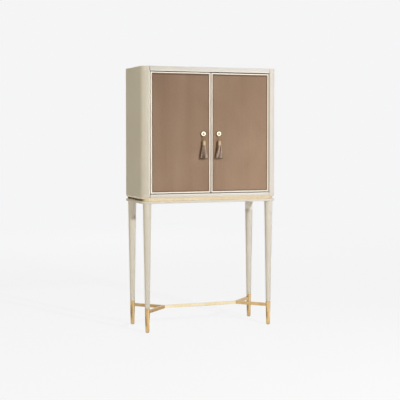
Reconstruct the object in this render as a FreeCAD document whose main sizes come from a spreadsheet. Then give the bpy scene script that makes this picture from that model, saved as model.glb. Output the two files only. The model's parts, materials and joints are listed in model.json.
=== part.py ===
import FreeCAD, Part
import math
import os
import re
import Sketcher

# Bar cabinet on legs, with two doors, tassel pulls and a shelf that folds out from the right door.
# X runs to the right, Y to the back and Z up. The origin is on the floor, in the middle of the
# outline that the case and the tassels in front of it make together. Sizes are in millimetres.

SIZES = {
    # case
    "case_width": 850, "case_depth": 355,
    "corner_radius": 43.5, "rear_radius": 40, "post_depth": 44, "post_flat": 1, "post_chamfer": 6.3,
    "rear_flat": 3, "side_wall": 22, "board": 22, "back_board": 10,
    "top_rail_height": 28, "bottom_rail_height": 19, "rail_depth": 22,
    "edge_ease": 0.8, "low_edge_radius": 3,
    # base and legs
    "leg_height": 754, "plate_height": 15, "plate_edge_radius": 3,
    "band_height": 20, "band_inset": 10, "band_wall": 1.5,
    "leg_inset_side": 39.5, "leg_inset_end": 29, "leg_top_radius": 24.5, "leg_low_radius": 14.5,
    "sabot_top": 143, "sabot_top_radius": 15, "sabot_low_radius": 12, "sabot_floor": 8,
    "glide_height": 4, "glide_radius": 9.5, "tenon_radius": 9, "tenon_fit": 0.05,
    "leg_bolt_radius": 5, "leg_bolt_in_leg": 32, "leg_bolt_in_core": 10,
    # stretcher
    "stretcher_low": 112, "stretcher_height": 18, "stretcher_depth": 15, "junction_x": 234,
    "stud_radius": 3, "stud_length": 34,
    # doors
    "door_thickness": 22, "door_end_gap": 4.8, "door_side_gap": 2.2, "door_middle_gap": 5.6,
    "door_frame": 7.6, "door_panel": 17.5, "door_recess": 2.5,
    "pivot_inset": 10, "pivot_setback": 6, "pivot_radius": 2.5, "pivot_fit": 0.05,
    "bush_wall": 1.5, "bush_height": 7, "pivot_plate": 2, "pivot_plate_width": 12,
    "pivot_plate_front": 1, "pivot_plate_inner": 20, "pivot_plate_outer": 10,
    "catch_width": 45, "catch_depth": 15, "catch_height": 20, "catch_inner": 12, "catch_gap": 0.5,
    "strike_thickness": 1.5, "strike_height": 7,
    # shelves and back
    "lower_bay": 315, "upper_bay": 380, "shelf_setback": 50, "partition_setback": 62, "partition": 18,
    "glass": 6, "glass_depth": 178, "glass_level": 197, "glass_gap": 1.5,
    "shelf_pin_radius": 2.5, "shelf_pin_in_wall": 10, "shelf_pin_reach": 12, "shelf_pin_inset": 28,
    "mirror": 4, "mirror_margin": 6,
    "screw_radius": 1.75, "screw_head_radius": 3.6, "screw_head": 2.4, "screw_length": 28, "screw_inset": 60,
    # fold out shelf on the right door
    "flap_thickness": 16, "flap_length": 205, "flap_meeting_margin": 81.2, "flap_hinge_margin": 28,
    "flap_rest_gap": 3,
    "leaf": 2, "leaf_width": 40, "leaf_length": 24, "knuckle_radius": 3.5, "knuckle_gap": 0.3,
    "knuckle_middle": 14, "knuckle_clear": 0.5, "hinge_pin_radius": 1.5, "hinge_fit": 0.05,
    "hinge_edge_gap": 4, "hinge_inset": 45, "leaf_offset": 2,
    "ring_radius": 13, "ring_bore": 10.5, "ring_from_edge": 24,
    "magnet_radius": 6, "magnet_from_edge": 20, "magnet_aside": 70, "magnet_gap": 0.4,
    # pulls
    "pull_spacing": 97, "pull_height": 1158.5, "rose_radius": 16, "rose_thickness": 10,
    "rose_step": 2.2, "post_radius": 2.2, "link_standoff": 15.5, "link_wire": 1, "link_fit": 0.1,
    "link_length": 34, "knob_end_radius": 3.6, "knob_end": 3.6, "knob_end_slope": 1, "knob_end_gap": 0.6,
    "pull_screw_radius": 2, "pull_screw_in_knob": 9, "pull_screw_head_radius": 4.5,
    "pull_screw_head": 2.6, "pull_screw_clear": 0.2,
    "eye_wire": 1.2, "eye_clear": 0.4, "cap_height": 27, "cap_radius": 9.8, "cap_top_radius": 6,
    "cap_neck": 3.5, "cap_bead": 3, "cap_step": 0.8, "skirt_height": 77, "skirt_top_radius": 8.8,
    "skirt_top_width": 9.3, "skirt_half_width": 24, "skirt_half_depth": 12.5, "skirt_waist_width": 15.5,
    "skirt_waist_depth": 10.4, "skirt_waist_drop": 34,
}

# Places and lengths that follow from the sizes above.
PLACES = {
    "half_width": "case_width / 2",
    "pull_reach": "link_standoff + skirt_half_depth",
    "front_y": "(pull_reach - case_depth) / 2",
    "back_y": "front_y + case_depth",
    "middle_y": "front_y + case_depth / 2",
    "plate_top": "leg_height + plate_height",
    "case_low": "plate_top + band_height",
    "case_height": "total_height - case_low",
    "opening_half": "half_width - corner_radius - post_flat - post_chamfer",
    "inner_half": "half_width - side_wall",
    "back_half": "half_width - rear_radius - rear_flat",
    "inside_back_y": "back_y - back_board",
    "floor_top": "case_low + board",
    "shelf_low": "floor_top + lower_bay",
    "shelf_top": "shelf_low + board",
    "ceiling": "shelf_top + upper_bay",
    "total_height": "ceiling + board",
    "leg_x": "half_width - leg_inset_side",
    "leg_y": "case_depth / 2 - leg_inset_end",
    "arm_run": "leg_x - junction_x",
    "arm_length": "sqrt(arm_run * arm_run + leg_y * leg_y)",
    "arm_sine": "leg_y / arm_length",
    "arm_cosine": "arm_run / arm_length",
    "bar_half": "stretcher_depth / 2",
    "mitre": "bar_half * (1 - arm_cosine) / arm_sine",
    "door_outer": "opening_half - door_side_gap",
    "door_inner": "door_middle_gap / 2",
    "door_low": "case_low + bottom_rail_height + door_end_gap",
    "door_high": "total_height - top_rail_height - door_end_gap",
    "door_back_y": "front_y + door_thickness",
    "panel_front_y": "front_y + door_recess",
    "panel_back_y": "panel_front_y + door_panel",
    "pivot_x": "door_outer - pivot_inset",
    "pivot_y": "front_y + pivot_setback",
    "glass_low": "shelf_top + glass_level",
    "hinge_y": "panel_back_y + knuckle_radius + knuckle_clear",
    "hinge_z": "shelf_top + flap_rest_gap + flap_thickness + leaf_offset",
    "flap_y": "hinge_y + leaf_offset",
    "flap_low": "hinge_z + hinge_edge_gap",
    "flap_from": "door_inner + flap_meeting_margin",
    "flap_to": "door_outer - flap_hinge_margin",
    "flap_middle": "(flap_from + flap_to) / 2",
    "link_bend": "post_radius + link_fit + link_wire",
    "link_y": "front_y - link_standoff",
    "eye_z": "pull_height - link_length - link_bend",
    "eye_bend": "link_wire + eye_clear + eye_wire",
    "cap_high": "eye_z - eye_bend",
    "skirt_high": "cap_high - cap_height",
    "knob_reach": "panel_front_y - link_y + link_wire + knob_end_gap + knob_end",
}

WORD = re.compile(r"[A-Za-z_][A-Za-z_0-9]*")


def formula(text):
    """Turn the names of sizes and places into references to the spreadsheet's cells."""
    def expand(match):
        word = match.group(0)
        if word in SIZES:
            return "sizes." + word
        if word in PLACES:
            return "(" + formula(PLACES[word]) + ")"
        return word
    return WORD.sub(expand, str(text))


doc = FreeCAD.newDocument("bar_cabinet")
sheet = doc.addObject("Spreadsheet::Sheet", "sizes")
for row, (alias, number) in enumerate(SIZES.items(), start=1):
    sheet.set(f"A{row}", alias)
    sheet.set(f"B{row}", str(number))
    sheet.setAlias(f"B{row}", alias)
doc.recompute()

nodes = []


def node(thing, name=None):
    """Keep an object as a piece of the cabinet, under the name of its file."""
    if name:
        thing.Label = name
    nodes.append(thing)
    return thing


def bind(thing, **sizes):
    """Tie properties of an object to formulas."""
    for prop, text in sizes.items():
        thing.setExpression(prop, formula(text))
    return thing


def place(thing, x="0", y="0", z="0", turn=None):
    """Put an object at a place given by formulas, turned by a fixed rotation if one is given."""
    if turn:
        thing.Placement = FreeCAD.Placement(FreeCAD.Vector(), turn)
    for axis, text in (("x", x), ("y", y), ("z", z)):
        thing.setExpression(f".Placement.Base.{axis}", formula(text))
    return thing


TO_FRONT = FreeCAD.Rotation(FreeCAD.Vector(1, 0, 0), 90)
TO_BACK = FreeCAD.Rotation(FreeCAD.Vector(1, 0, 0), -90)
TO_RIGHT = FreeCAD.Rotation(FreeCAD.Vector(0, 1, 0), 90)


def box(name, x, y, z, length, width, height):
    thing = doc.addObject("Part::Box", name)
    bind(thing, Length=length, Width=width, Height=height)
    return place(thing, x, y, z)


def rod(name, x, y, z, radius, height, turn=None):
    thing = doc.addObject("Part::Cylinder", name)
    bind(thing, Radius=radius, Height=height)
    return place(thing, x, y, z, turn)


def group(name, members):
    thing = doc.addObject("Part::Compound", name)
    thing.Links = members
    return thing


def fuse(name, members):
    thing = doc.addObject("Part::MultiFuse", name)
    thing.Shapes = members
    return thing


def cut(name, base, *tools):
    thing = doc.addObject("Part::Cut", name)
    thing.Base = base
    thing.Tool = tools[0] if len(tools) == 1 else group(name + "_tools", list(tools))
    return thing


def body_plane(body, role):
    for feature in body.Origin.OriginFeatures:
        if feature.Role == role:
            return feature


def outline(body, name, role, points, height="0"):
    """Sketch a closed outline whose corners are given by formulas, at a height over its plane."""
    sketch = body.newObject("Sketcher::SketchObject", name)
    sketch.AttachmentSupport = (body_plane(body, role), [""])
    sketch.MapMode = "FlatFace"
    sketch.setExpression(".AttachmentOffset.Base.z", formula(height))
    corners = [FreeCAD.Vector(float(sheet.evalExpression(formula(across))),
                              float(sheet.evalExpression(formula(up))), 0) for across, up in points]
    count = len(corners)
    for index in range(count):
        sketch.addGeometry(Part.LineSegment(corners[index], corners[(index + 1) % count]), False)
    for index in range(count):
        sketch.addConstraint(Sketcher.Constraint("Coincident", index, 2, (index + 1) % count, 1))
    for index, (across, up) in enumerate(points):
        corner = corners[index]
        for kind, text, reach in (("DistanceX", across, corner.x), ("DistanceY", up, corner.y)):
            number = sketch.addConstraint(Sketcher.Constraint(kind, -1, 1, index, 1, reach))
            sketch.setExpression(f"Constraints[{number}]", formula(text))
    return sketch


def prism(name, points, low, height):
    """Raise an outline in plan into a solid."""
    body = doc.addObject("PartDesign::Body", name)
    sketch = outline(body, name + "_outline", "XY_Plane", points, low)
    pad = body.newObject("PartDesign::Pad", name + "_pad")
    pad.Profile = sketch
    bind(pad, Length=height)
    return body


def turned(name, points, x, y, z, turn=None):
    """Turn a half outline (distance from the axis, place along it) into a round solid."""
    body = doc.addObject("PartDesign::Body", name)
    sketch = outline(body, name + "_outline", "XZ_Plane", points)
    revolution = body.newObject("PartDesign::Revolution", name + "_turning")
    revolution.Profile = sketch
    revolution.ReferenceAxis = (sketch, ["V_Axis"])
    revolution.Angle = 360
    return place(body, x, y, z, turn)


def round_edges(body, radius, chosen):
    """Round the edges of a body that a test picks out."""
    doc.recompute()
    last = body.Tip
    names = [f"Edge{number}" for number, edge in enumerate(last.Shape.Edges, start=1) if chosen(edge)]
    fillet = body.newObject("PartDesign::Fillet", f"{body.Name}_rounding_{len(body.Group)}")
    fillet.Base = (last, names)
    bind(fillet, Radius=radius)
    return body


def eased_board(name, x, y, z, length, width, height):
    """A board whose edges are all slightly rounded."""
    body = doc.addObject("PartDesign::Body", name)
    block = body.newObject("PartDesign::AdditiveBox", name + "_block")
    bind(block, Length=length, Width=width, Height=height)
    doc.recompute()
    easing = body.newObject("PartDesign::Fillet", name + "_easing")
    easing.Base = (block, ["Edge1"])
    easing.UseAllEdges = True
    bind(easing, Radius="edge_ease")
    return place(body, x, y, z)


def value(text):
    return float(sheet.evalExpression(formula(text)))


def span(side, inner, outer):
    """Lower x and length of a piece between two distances from the middle, on one side."""
    low = f"-({outer})" if side < 0 else f"({inner})"
    return low, f"({outer}) - ({inner})"


SIDES = (("left", -1), ("right", 1))
ENDS = (("front", -1), ("back", 1))


# --- screws, pins and bolts come first, because they also make their own holes ---------------

def back_screw(name, x, z):
    head = rod(name + "_head", x, "back_y", z, "screw_head_radius", "screw_head", TO_FRONT)
    shank = rod(name + "_shank", x, "back_y", z, "screw_radius", "screw_length", TO_FRONT)
    return fuse(name, [head, shank])


SCREW_ROWS = {
    "top": "ceiling + board / 2",
    "middle": "shelf_low + board / 2",
    "bottom": "case_low + board / 2",
}
SCREW_COLUMNS = ("-1", "-1 / 3", "1 / 3", "1")
screws = []
for row_name, row_z in SCREW_ROWS.items():
    for number, share in enumerate(SCREW_COLUMNS, start=1):
        screw_x = f"{share} * (inner_half - screw_inset)"
        screws.append(back_screw(f"screw_{row_name}_{number}", screw_x, row_z))
back_screws = node(group("back_screws", screws))

pins = []
for side_name, side in SIDES:
    for end_name, pin_y in (("front", "inside_back_y - mirror - glass_depth + shelf_pin_inset"),
                            ("back", "inside_back_y - mirror - shelf_pin_inset")):
        low, length = span(side, "inner_half - shelf_pin_reach", "inner_half + shelf_pin_in_wall")
        pins.append(rod(f"shelf_pin_{end_name}_{side_name}", low, pin_y, "glass_low - shelf_pin_radius",
                        "shelf_pin_radius", length, TO_RIGHT))
shelf_pins = node(group("shelf_pins", pins))

bolts = []
studs = []
LEGS = []
for end_name, end in ENDS:
    for side_name, side in SIDES:
        corner = f"{end_name}_{side_name}"
        leg_place = (f"{side} * leg_x", f"middle_y + {end} * leg_y")
        LEGS.append((corner, side, end, leg_place))
        bolts.append(rod("leg_bolt_" + corner, *leg_place, "leg_height - leg_bolt_in_leg",
                         "leg_bolt_radius", "leg_bolt_in_leg + plate_height + leg_bolt_in_core"))
        stud = rod("stretcher_stud_" + corner, *leg_place, "stretcher_low + stretcher_height / 2",
                   "stud_radius", "stud_length")
        stud.Placement = FreeCAD.Placement(FreeCAD.Vector(), FreeCAD.Rotation(
            FreeCAD.Vector(0, 0, 1), FreeCAD.Vector(-side * value("arm_run"), -end * value("leg_y"), 0)))
        place(stud, *leg_place, "stretcher_low + stretcher_height / 2")
        studs.append(stud)
leg_bolts = node(group("leg_bolts", bolts))
stretcher_studs = node(group("stretcher_studs", studs))


# --- case ------------------------------------------------------------------------------------

def upright(edge):
    return abs(edge.Vertexes[0].Z - edge.Vertexes[-1].Z) > 1


def near(point, x, y):
    return abs(point.x - x) < 0.01 and abs(point.y - y) < 0.01


def side_shell(side_name, side):
    """Side wall, front post and rear return in one, with round corners and a chamfer at the door."""
    wall = [("half_width", "back_y"), ("half_width", "front_y"), ("opening_half + post_chamfer", "front_y"),
            ("opening_half", "front_y + post_chamfer"), ("opening_half", "front_y + post_depth"),
            ("inner_half", "front_y + post_depth"), ("inner_half", "inside_back_y"),
            ("back_half", "inside_back_y"), ("back_half", "back_y")]
    name = "side_" + side_name
    body = prism(name + "_shell", [(f"{side} * ({x})", y) for x, y in wall], "case_low", "case_height")
    outer_x = value("half_width")
    front = value("front_y")
    back = value("back_y")
    seam_x = value("opening_half + post_chamfer")
    arcs = (("corner_radius", front, 1), ("rear_radius", back, -1))
    for radius, corner_y, inward in arcs:
        round_edges(body, radius,
                    lambda edge: upright(edge) and near(edge.CenterOfMass, side * outer_x, corner_y))

    def on_skin(edge):
        """Whether a level edge runs along the outside of the shell."""
        middle = edge.valueAt((edge.FirstParameter + edge.LastParameter) / 2)
        if abs(abs(middle.x) - outer_x) < 0.01 or abs(middle.y - front) < 0.01 or abs(middle.y - back) < 0.01:
            return True
        for radius, corner_y, inward in arcs:
            reach = value(radius)
            from_arc = math.hypot(abs(middle.x) - outer_x + reach, middle.y - corner_y - inward * reach)
            if abs(from_arc - reach) < 0.01:
                return True
        return False

    def level(edge, z):
        return all(abs(vertex.Z - z) < 0.01 for vertex in edge.Vertexes)

    round_edges(body, "low_edge_radius", lambda edge: level(edge, value("case_low")) and on_skin(edge))
    round_edges(body, "edge_ease", lambda edge: near(edge.CenterOfMass, side * seam_x, front)
                if upright(edge) else level(edge, value("total_height")) and on_skin(edge))
    return node(cut(name, body, shelf_pins))


for side_name, side in SIDES:
    side_shell(side_name, side)


def between_posts(name, low):
    """A board between the side shells, notched round their posts."""
    plan = [("-inner_half", "inside_back_y"), ("-inner_half", "front_y + post_depth"),
            ("-opening_half", "front_y + post_depth"), ("-opening_half", "front_y + rail_depth"),
            ("opening_half", "front_y + rail_depth"), ("opening_half", "front_y + post_depth"),
            ("inner_half", "front_y + post_depth"), ("inner_half", "inside_back_y")]
    return node(cut(name, prism(name + "_board", plan, low, "board"), back_screws))


between_posts("top_panel", "ceiling")
between_posts("bottom_panel", "case_low")

back_board = box("back_board_blank", "-back_half", "inside_back_y", "case_low",
                 "2 * back_half", "back_board", "case_height")
node(cut("back_panel", back_board, back_screws))

mid_board = eased_board("mid_shelf_board", "-inner_half", "front_y + shelf_setback", "shelf_low",
                        "2 * inner_half", "inside_back_y - front_y - shelf_setback", "board")
node(cut("mid_shelf", mid_board, back_screws))
node(eased_board("lower_partition", "-partition / 2", "front_y + partition_setback", "floor_top",
                 "partition", "inside_back_y - front_y - partition_setback", "lower_bay"))
node(box("mirror_panel", "mirror_margin - inner_half", "inside_back_y - mirror", "shelf_top + mirror_margin",
         "2 * (inner_half - mirror_margin)", "mirror", "ceiling - shelf_top - 2 * mirror_margin"))
node(eased_board("glass_shelf", "glass_gap - inner_half", "inside_back_y - mirror - glass_gap - glass_depth",
                 "glass_low", "2 * (inner_half - glass_gap)", "glass_depth", "glass"))


# --- door pivots: plates let into the rails, pins in the plates ------------------------------

plates = {"top": [], "bottom": []}
pivot_pins = []
for side_name, side in SIDES:
    low, length = span(side, "pivot_x - pivot_plate_inner", "pivot_x + pivot_plate_outer")
    for rail, plate_z, pin_z in (
            ("top", "total_height - top_rail_height", "door_high - bush_height"),
            ("bottom", "case_low + bottom_rail_height - pivot_plate",
             "case_low + bottom_rail_height - pivot_plate")):
        name = f"pivot_{rail}_{side_name}"
        plate = box(name + "_plate", low, "front_y + pivot_plate_front", plate_z,
                    length, "pivot_plate_width", "pivot_plate")
        pin = rod(name + "_pin", f"{side} * pivot_x", "pivot_y", pin_z,
                  "pivot_radius", "bush_height + door_end_gap + pivot_plate")
        plates[rail].append(plate)
        pivot_pins.append(pin)
pivot_pins = node(group("pivot_pins", pivot_pins))
plate_blanks = {rail: group(rail + "_plate_blanks", found) for rail, found in plates.items()}
node(cut("pivot_plates", group("plate_blanks", list(plate_blanks.values())), pivot_pins))


def rail(name, low, height, top_radius, low_radius, plate_blank):
    """Rail between the posts, with its long front edges and its ends rounded."""
    profile = [("front_y", low), ("front_y + rail_depth", low), ("front_y + rail_depth", f"{low} + {height}"),
               ("front_y", f"{low} + {height}")]
    body = doc.addObject("PartDesign::Body", name + "_blank")
    sketch = outline(body, name + "_outline", "YZ_Plane", profile, "-opening_half")
    pad = body.newObject("PartDesign::Pad", name + "_pad")
    pad.Profile = sketch
    bind(pad, Length="2 * opening_half")
    front = value("front_y")
    for radius, edge_z in ((top_radius, f"{low} + {height}"), (low_radius, low)):
        edge_level = value(edge_z)
        round_edges(body, radius, lambda edge: abs(edge.CenterOfMass.y - front) < 0.01
                    and abs(edge.CenterOfMass.x) < 1 and abs(edge.CenterOfMass.z - edge_level) < 0.01)
    return node(cut(name, body, plate_blank))


rail("top_rail", "total_height - top_rail_height", "top_rail_height", "edge_ease", "edge_ease",
     plate_blanks["top"])
rail("bottom_rail", "case_low", "bottom_rail_height", "edge_ease", "low_edge_radius",
     plate_blanks["bottom"])

catches = []
for side_name, side in SIDES:
    low, length = span(side, "catch_inner", "catch_inner + catch_width")
    catches.append(box("door_catch_" + side_name, low, "door_back_y + strike_thickness + catch_gap",
                       "ceiling - catch_height", length, "catch_depth", "catch_height"))
node(group("door_catches", catches))


# --- base: plinth core, brass band round it, base plate -------------------------------------

def base_block(name, inset, low, height):
    """A block under the case, with round corners, set in from the case by the same amount all round."""
    x = f"(half_width - ({inset}))"
    y_front = f"(front_y + ({inset}))"
    y_back = f"(back_y - ({inset}))"
    corners = [(f"-{x}", y_back), (f"-{x}", y_front), (x, y_front), (x, y_back)]
    body = prism(name, corners, low, height)
    front_line = value(y_front)
    round_edges(body, f"corner_radius - ({inset})",
                lambda edge: upright(edge) and abs(edge.CenterOfMass.y - front_line) < 0.01)
    back_line = value(y_back)
    return round_edges(body, f"rear_radius - ({inset})",
                       lambda edge: upright(edge) and abs(edge.CenterOfMass.y - back_line) < 0.01)


plate_body = base_block("base_plate_blank", "0", "leg_height", "plate_height")
round_edges(plate_body, "plate_edge_radius", lambda edge: not upright(edge))
node(cut("base_plate", plate_body, leg_bolts))
node(cut("brass_band", base_block("band_outside", "band_inset", "plate_top", "band_height"),
         base_block("band_inside", "band_inset + band_wall", "plate_top", "band_height")))
node(cut("plinth_core", base_block("core_blank", "band_inset + band_wall", "plate_top", "band_height"),
         leg_bolts))


# --- legs, sabots and glides -----------------------------------------------------------------

LEG_OUTLINE = [("0", "sabot_floor"), ("tenon_radius", "sabot_floor"), ("tenon_radius", "sabot_top"),
               ("leg_low_radius", "sabot_top"), ("leg_top_radius", "leg_height"), ("0", "leg_height")]
SABOT_OUTLINE = [("0", "glide_height"), ("sabot_low_radius", "glide_height"),
                 ("sabot_top_radius", "sabot_top"), ("tenon_radius + tenon_fit", "sabot_top"),
                 ("tenon_radius + tenon_fit", "sabot_floor"), ("0", "sabot_floor")]
sabot_cones = []
glides = []
for corner, side, end, leg_place in LEGS:
    leg = turned(f"leg_{corner}_blank", LEG_OUTLINE, *leg_place, "0")
    node(cut("leg_" + corner, leg, leg_bolts, stretcher_studs))
    sabot = turned(f"sabot_{corner}_blank", SABOT_OUTLINE, *leg_place, "0")
    node(cut("sabot_" + corner, sabot, stretcher_studs))
    cone = doc.addObject("Part::Cone", f"sabot_{corner}_outside")
    bind(cone, Radius1="sabot_low_radius", Radius2="sabot_top_radius", Height="sabot_top - glide_height")
    sabot_cones.append(place(cone, *leg_place, "glide_height"))
    glides.append(rod("glide_" + corner, *leg_place, "0", "glide_radius", "glide_height"))
node(group("foot_glides", glides))


# --- stretcher: a V of arms at each end of a straight bar, mitred together -------------------

def stretcher_arm(corner, side, end, leg_place, sabot_cone):
    """Arm from the junction to a leg, coped to the round sabot."""
    plan = [("junction_x + bar_half / arm_sine", "0"), ("junction_x", "0"),
            ("junction_x - mitre", "bar_half"),
            ("leg_x - arm_sine * bar_half", "leg_y + arm_cosine * bar_half"),
            ("leg_x + arm_sine * bar_half", "leg_y - arm_cosine * bar_half")]
    points = [(f"{side} * ({x})", f"middle_y + {end} * ({y})") for x, y in plan]
    bar = prism(f"arm_{corner}_bar", points, "stretcher_low", "stretcher_height")
    return node(cut("stretcher_arm_" + corner, bar, sabot_cone, stretcher_studs))


for leg, sabot_cone in zip(LEGS, sabot_cones):
    stretcher_arm(*leg, sabot_cone)
BAR_PLAN = [("-junction_x", "0"), ("mitre - junction_x", "bar_half"), ("junction_x - mitre", "bar_half"),
            ("junction_x", "0"), ("junction_x - mitre", "-bar_half"), ("mitre - junction_x", "-bar_half")]
node(prism("stretcher_bar", [(x, f"middle_y + {y}") for x, y in BAR_PLAN],
           "stretcher_low", "stretcher_height"))


# --- doors -----------------------------------------------------------------------------------

def door(side_name, side):
    """Frame of four strips round a recessed panel, with pivot bushes, strike and pull screw."""
    low, length = span(side, "door_inner", "door_outer")
    bushes = []
    sockets = []
    for end_name, bush_z in (("top", "door_high - bush_height"), ("bottom", "door_low")):
        name = f"bush_{end_name}_{side_name}"
        at = (f"{side} * pivot_x", "pivot_y", bush_z)
        socket = rod(name + "_outside", *at, "pivot_radius + pivot_fit + bush_wall", "bush_height")
        bore = rod(name + "_bore", *at, "pivot_radius + pivot_fit", "bush_height")
        sockets.append(socket)
        bushes.append(cut(name, socket, bore))
    node(group("pivot_bushes_" + side_name, bushes))

    strips = []
    for end_name, strip_z, socket in (("top", "door_high - door_frame", sockets[0]),
                                      ("bottom", "door_low", sockets[1])):
        name = f"door_{side_name}_{end_name}_strip"
        blank = eased_board(name + "_blank", low, "front_y", strip_z, length, "door_thickness", "door_frame")
        strips.append(cut(name, blank, socket))
    for end_name, inner, outer in (("hinge", "door_outer - door_frame", "door_outer"),
                                   ("meeting", "door_inner", "door_inner + door_frame")):
        strip_low, strip_width = span(side, inner, outer)
        strips.append(eased_board(f"door_{side_name}_{end_name}_strip", strip_low, "front_y",
                                  "door_low + door_frame", strip_width, "door_thickness",
                                  "door_high - door_low - 2 * door_frame"))
    node(group("door_frame_" + side_name, strips))

    strike_low, strike_length = span(side, "catch_inner", "catch_inner + catch_width")
    node(box("catch_strike_" + side_name, strike_low, "door_back_y",
             "door_high - door_frame / 2 - strike_height / 2", strike_length,
             "strike_thickness", "strike_height"))

    pull_at = f"{side} * pull_spacing / 2"
    shank = rod(f"pull_shank_{side_name}", pull_at, "panel_back_y", "pull_height", "pull_screw_radius",
                "door_panel + pull_screw_in_knob", TO_FRONT)
    head = rod(f"pull_head_{side_name}", pull_at, "panel_back_y", "pull_height",
               "pull_screw_head_radius", "pull_screw_head", TO_BACK)
    node(fuse("pull_screw_" + side_name, [shank, head]))
    clearance = rod(f"pull_hole_{side_name}", pull_at, "panel_back_y", "pull_height",
                    "pull_screw_radius + pull_screw_clear", "door_panel", TO_FRONT)
    panel_low, panel_length = span(side, "door_inner + door_frame", "door_outer - door_frame")
    panel = box(f"door_{side_name}_board", panel_low, "panel_front_y", "door_low + door_frame",
                panel_length, "door_panel", "door_high - door_low - 2 * door_frame")
    node(cut("door_panel_" + side_name, panel, clearance))


for side_name, side in SIDES:
    door(side_name, side)


# --- pulls: knob, link, tassel cap and skirt -------------------------------------------------

KNOB_OUTLINE = [
    ("0", "pull_screw_in_knob"), ("pull_screw_radius", "pull_screw_in_knob"), ("pull_screw_radius", "0"),
    ("rose_radius", "0"), ("rose_radius", "rose_thickness - rose_step"),
    ("rose_radius - rose_step", "rose_thickness"), ("post_radius", "rose_thickness"),
    ("post_radius", "knob_reach - knob_end"),
    ("knob_end_radius", "knob_reach - knob_end + knob_end_slope"),
    ("knob_end_radius", "knob_reach - knob_end_slope"), ("post_radius", "knob_reach"), ("0", "knob_reach")]
CAP_OUTLINE = [
    ("0", "0"), ("cap_radius", "0"), ("cap_radius", "cap_bead"),
    ("cap_radius - cap_step", "cap_bead + cap_step"),
    ("cap_radius - cap_step", "cap_height - cap_neck - cap_bead - cap_step"),
    ("cap_radius", "cap_height - cap_neck - cap_bead"), ("cap_radius", "cap_height - cap_neck"),
    ("cap_top_radius", "cap_height"), ("0", "cap_height")]


def half_ring(name, bend, wire, x, y, z, turn):
    ring = doc.addObject("Part::Torus", name)
    bind(ring, Radius1=bend, Radius2=wire)
    ring.Angle3 = 180
    return place(ring, x, y, z, turn)


def slot_outline(body, name, half_width, half_depth, height):
    """A round-ended outline for one level of the tassel."""
    sketch = body.newObject("Sketcher::SketchObject", name)
    sketch.AttachmentSupport = (body_plane(body, "XY_Plane"), [""])
    sketch.MapMode = "FlatFace"
    sketch.setExpression(".AttachmentOffset.Base.z", formula(height))
    radius = value(half_depth)
    reach = value(f"{half_width} - {half_depth}")
    right, left = FreeCAD.Vector(reach, 0, 0), FreeCAD.Vector(-reach, 0, 0)
    up = FreeCAD.Vector(0, 0, 1)
    quarter = math.pi / 2
    sketch.addGeometry(Part.ArcOfCircle(Part.Circle(right, up, radius), -quarter, quarter), False)
    sketch.addGeometry(Part.LineSegment(right + FreeCAD.Vector(0, radius, 0),
                                        left + FreeCAD.Vector(0, radius, 0)), False)
    sketch.addGeometry(Part.ArcOfCircle(Part.Circle(left, up, radius), quarter, 3 * quarter), False)
    sketch.addGeometry(Part.LineSegment(left - FreeCAD.Vector(0, radius, 0),
                                        right - FreeCAD.Vector(0, radius, 0)), False)
    joints = ((0, 2, 1, 1), (1, 2, 2, 1), (2, 2, 3, 1), (3, 2, 0, 1))
    for joint in joints:
        sketch.addConstraint(Sketcher.Constraint("Tangent", *joint))
    sketch.addConstraint(Sketcher.Constraint("PointOnObject", 0, 3, -1))
    sketch.addConstraint(Sketcher.Constraint("Equal", 0, 2))
    sketch.addConstraint(Sketcher.Constraint("Symmetric", 0, 3, 2, 3, -1, 1))
    size = sketch.addConstraint(Sketcher.Constraint("Radius", 0, radius))
    sketch.setExpression(f"Constraints[{size}]", formula(half_depth))
    offset = sketch.addConstraint(Sketcher.Constraint("DistanceX", -1, 1, 0, 3, reach))
    sketch.setExpression(f"Constraints[{offset}]", formula(f"{half_width} - {half_depth}"))
    return sketch


def skirt(name, x):
    """Tassel of yarn, widening downwards and flattened towards the door."""
    body = doc.addObject("PartDesign::Body", name)
    levels = [slot_outline(body, name + "_top", "skirt_top_width", "skirt_top_radius", "skirt_height"),
              slot_outline(body, name + "_waist", "skirt_waist_width", "skirt_waist_depth",
                           "skirt_height - skirt_waist_drop"),
              slot_outline(body, name + "_hem", "skirt_half_width", "skirt_half_depth", "0")]
    loft = body.newObject("PartDesign::AdditiveLoft", name + "_loft")
    loft.Profile = levels[0]
    loft.Sections = levels[1:]
    return place(body, x, "link_y", "skirt_high - skirt_height")


for side_name, side in SIDES:
    x = f"{side} * pull_spacing / 2"
    node(turned("pull_knob_" + side_name, KNOB_OUTLINE, x, "panel_front_y", "pull_height", TO_FRONT))

    name = "pull_link_" + side_name
    low_bend = "pull_height - link_length"
    link = [half_ring(name + "_over", "link_bend", "link_wire", x, "link_y", "pull_height",
                      TO_FRONT),
            half_ring(name + "_under", "link_bend", "link_wire", x, "link_y", low_bend,
                      TO_FRONT.multiply(FreeCAD.Rotation(FreeCAD.Vector(0, 0, 1), 180)))]
    for edge, sign in (("left", "-"), ("right", "+")):
        link.append(rod(f"{name}_{edge}_wire", f"{x} {sign} link_bend", "link_y", low_bend,
                        "link_wire", "link_length"))
    node(fuse(name, link))

    cap = turned(f"tassel_{side_name}_bell", CAP_OUTLINE, x, "link_y", "skirt_high")
    eye_at = (f"{x} - eye_wire", "link_y", "eye_z")
    name = f"tassel_{side_name}_eye"
    eye = cut(name, rod(name + "_outside", *eye_at, "eye_bend + eye_wire", "2 * eye_wire", TO_RIGHT),
              rod(name + "_bore", *eye_at, "eye_bend - eye_wire", "2 * eye_wire", TO_RIGHT))
    node(fuse("tassel_cap_" + side_name, [cap, eye]))
    node(skirt("tassel_skirt_" + side_name, x))


# --- fold out shelf, hinged at its lower edge to the inside of the right door ----------------

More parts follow.
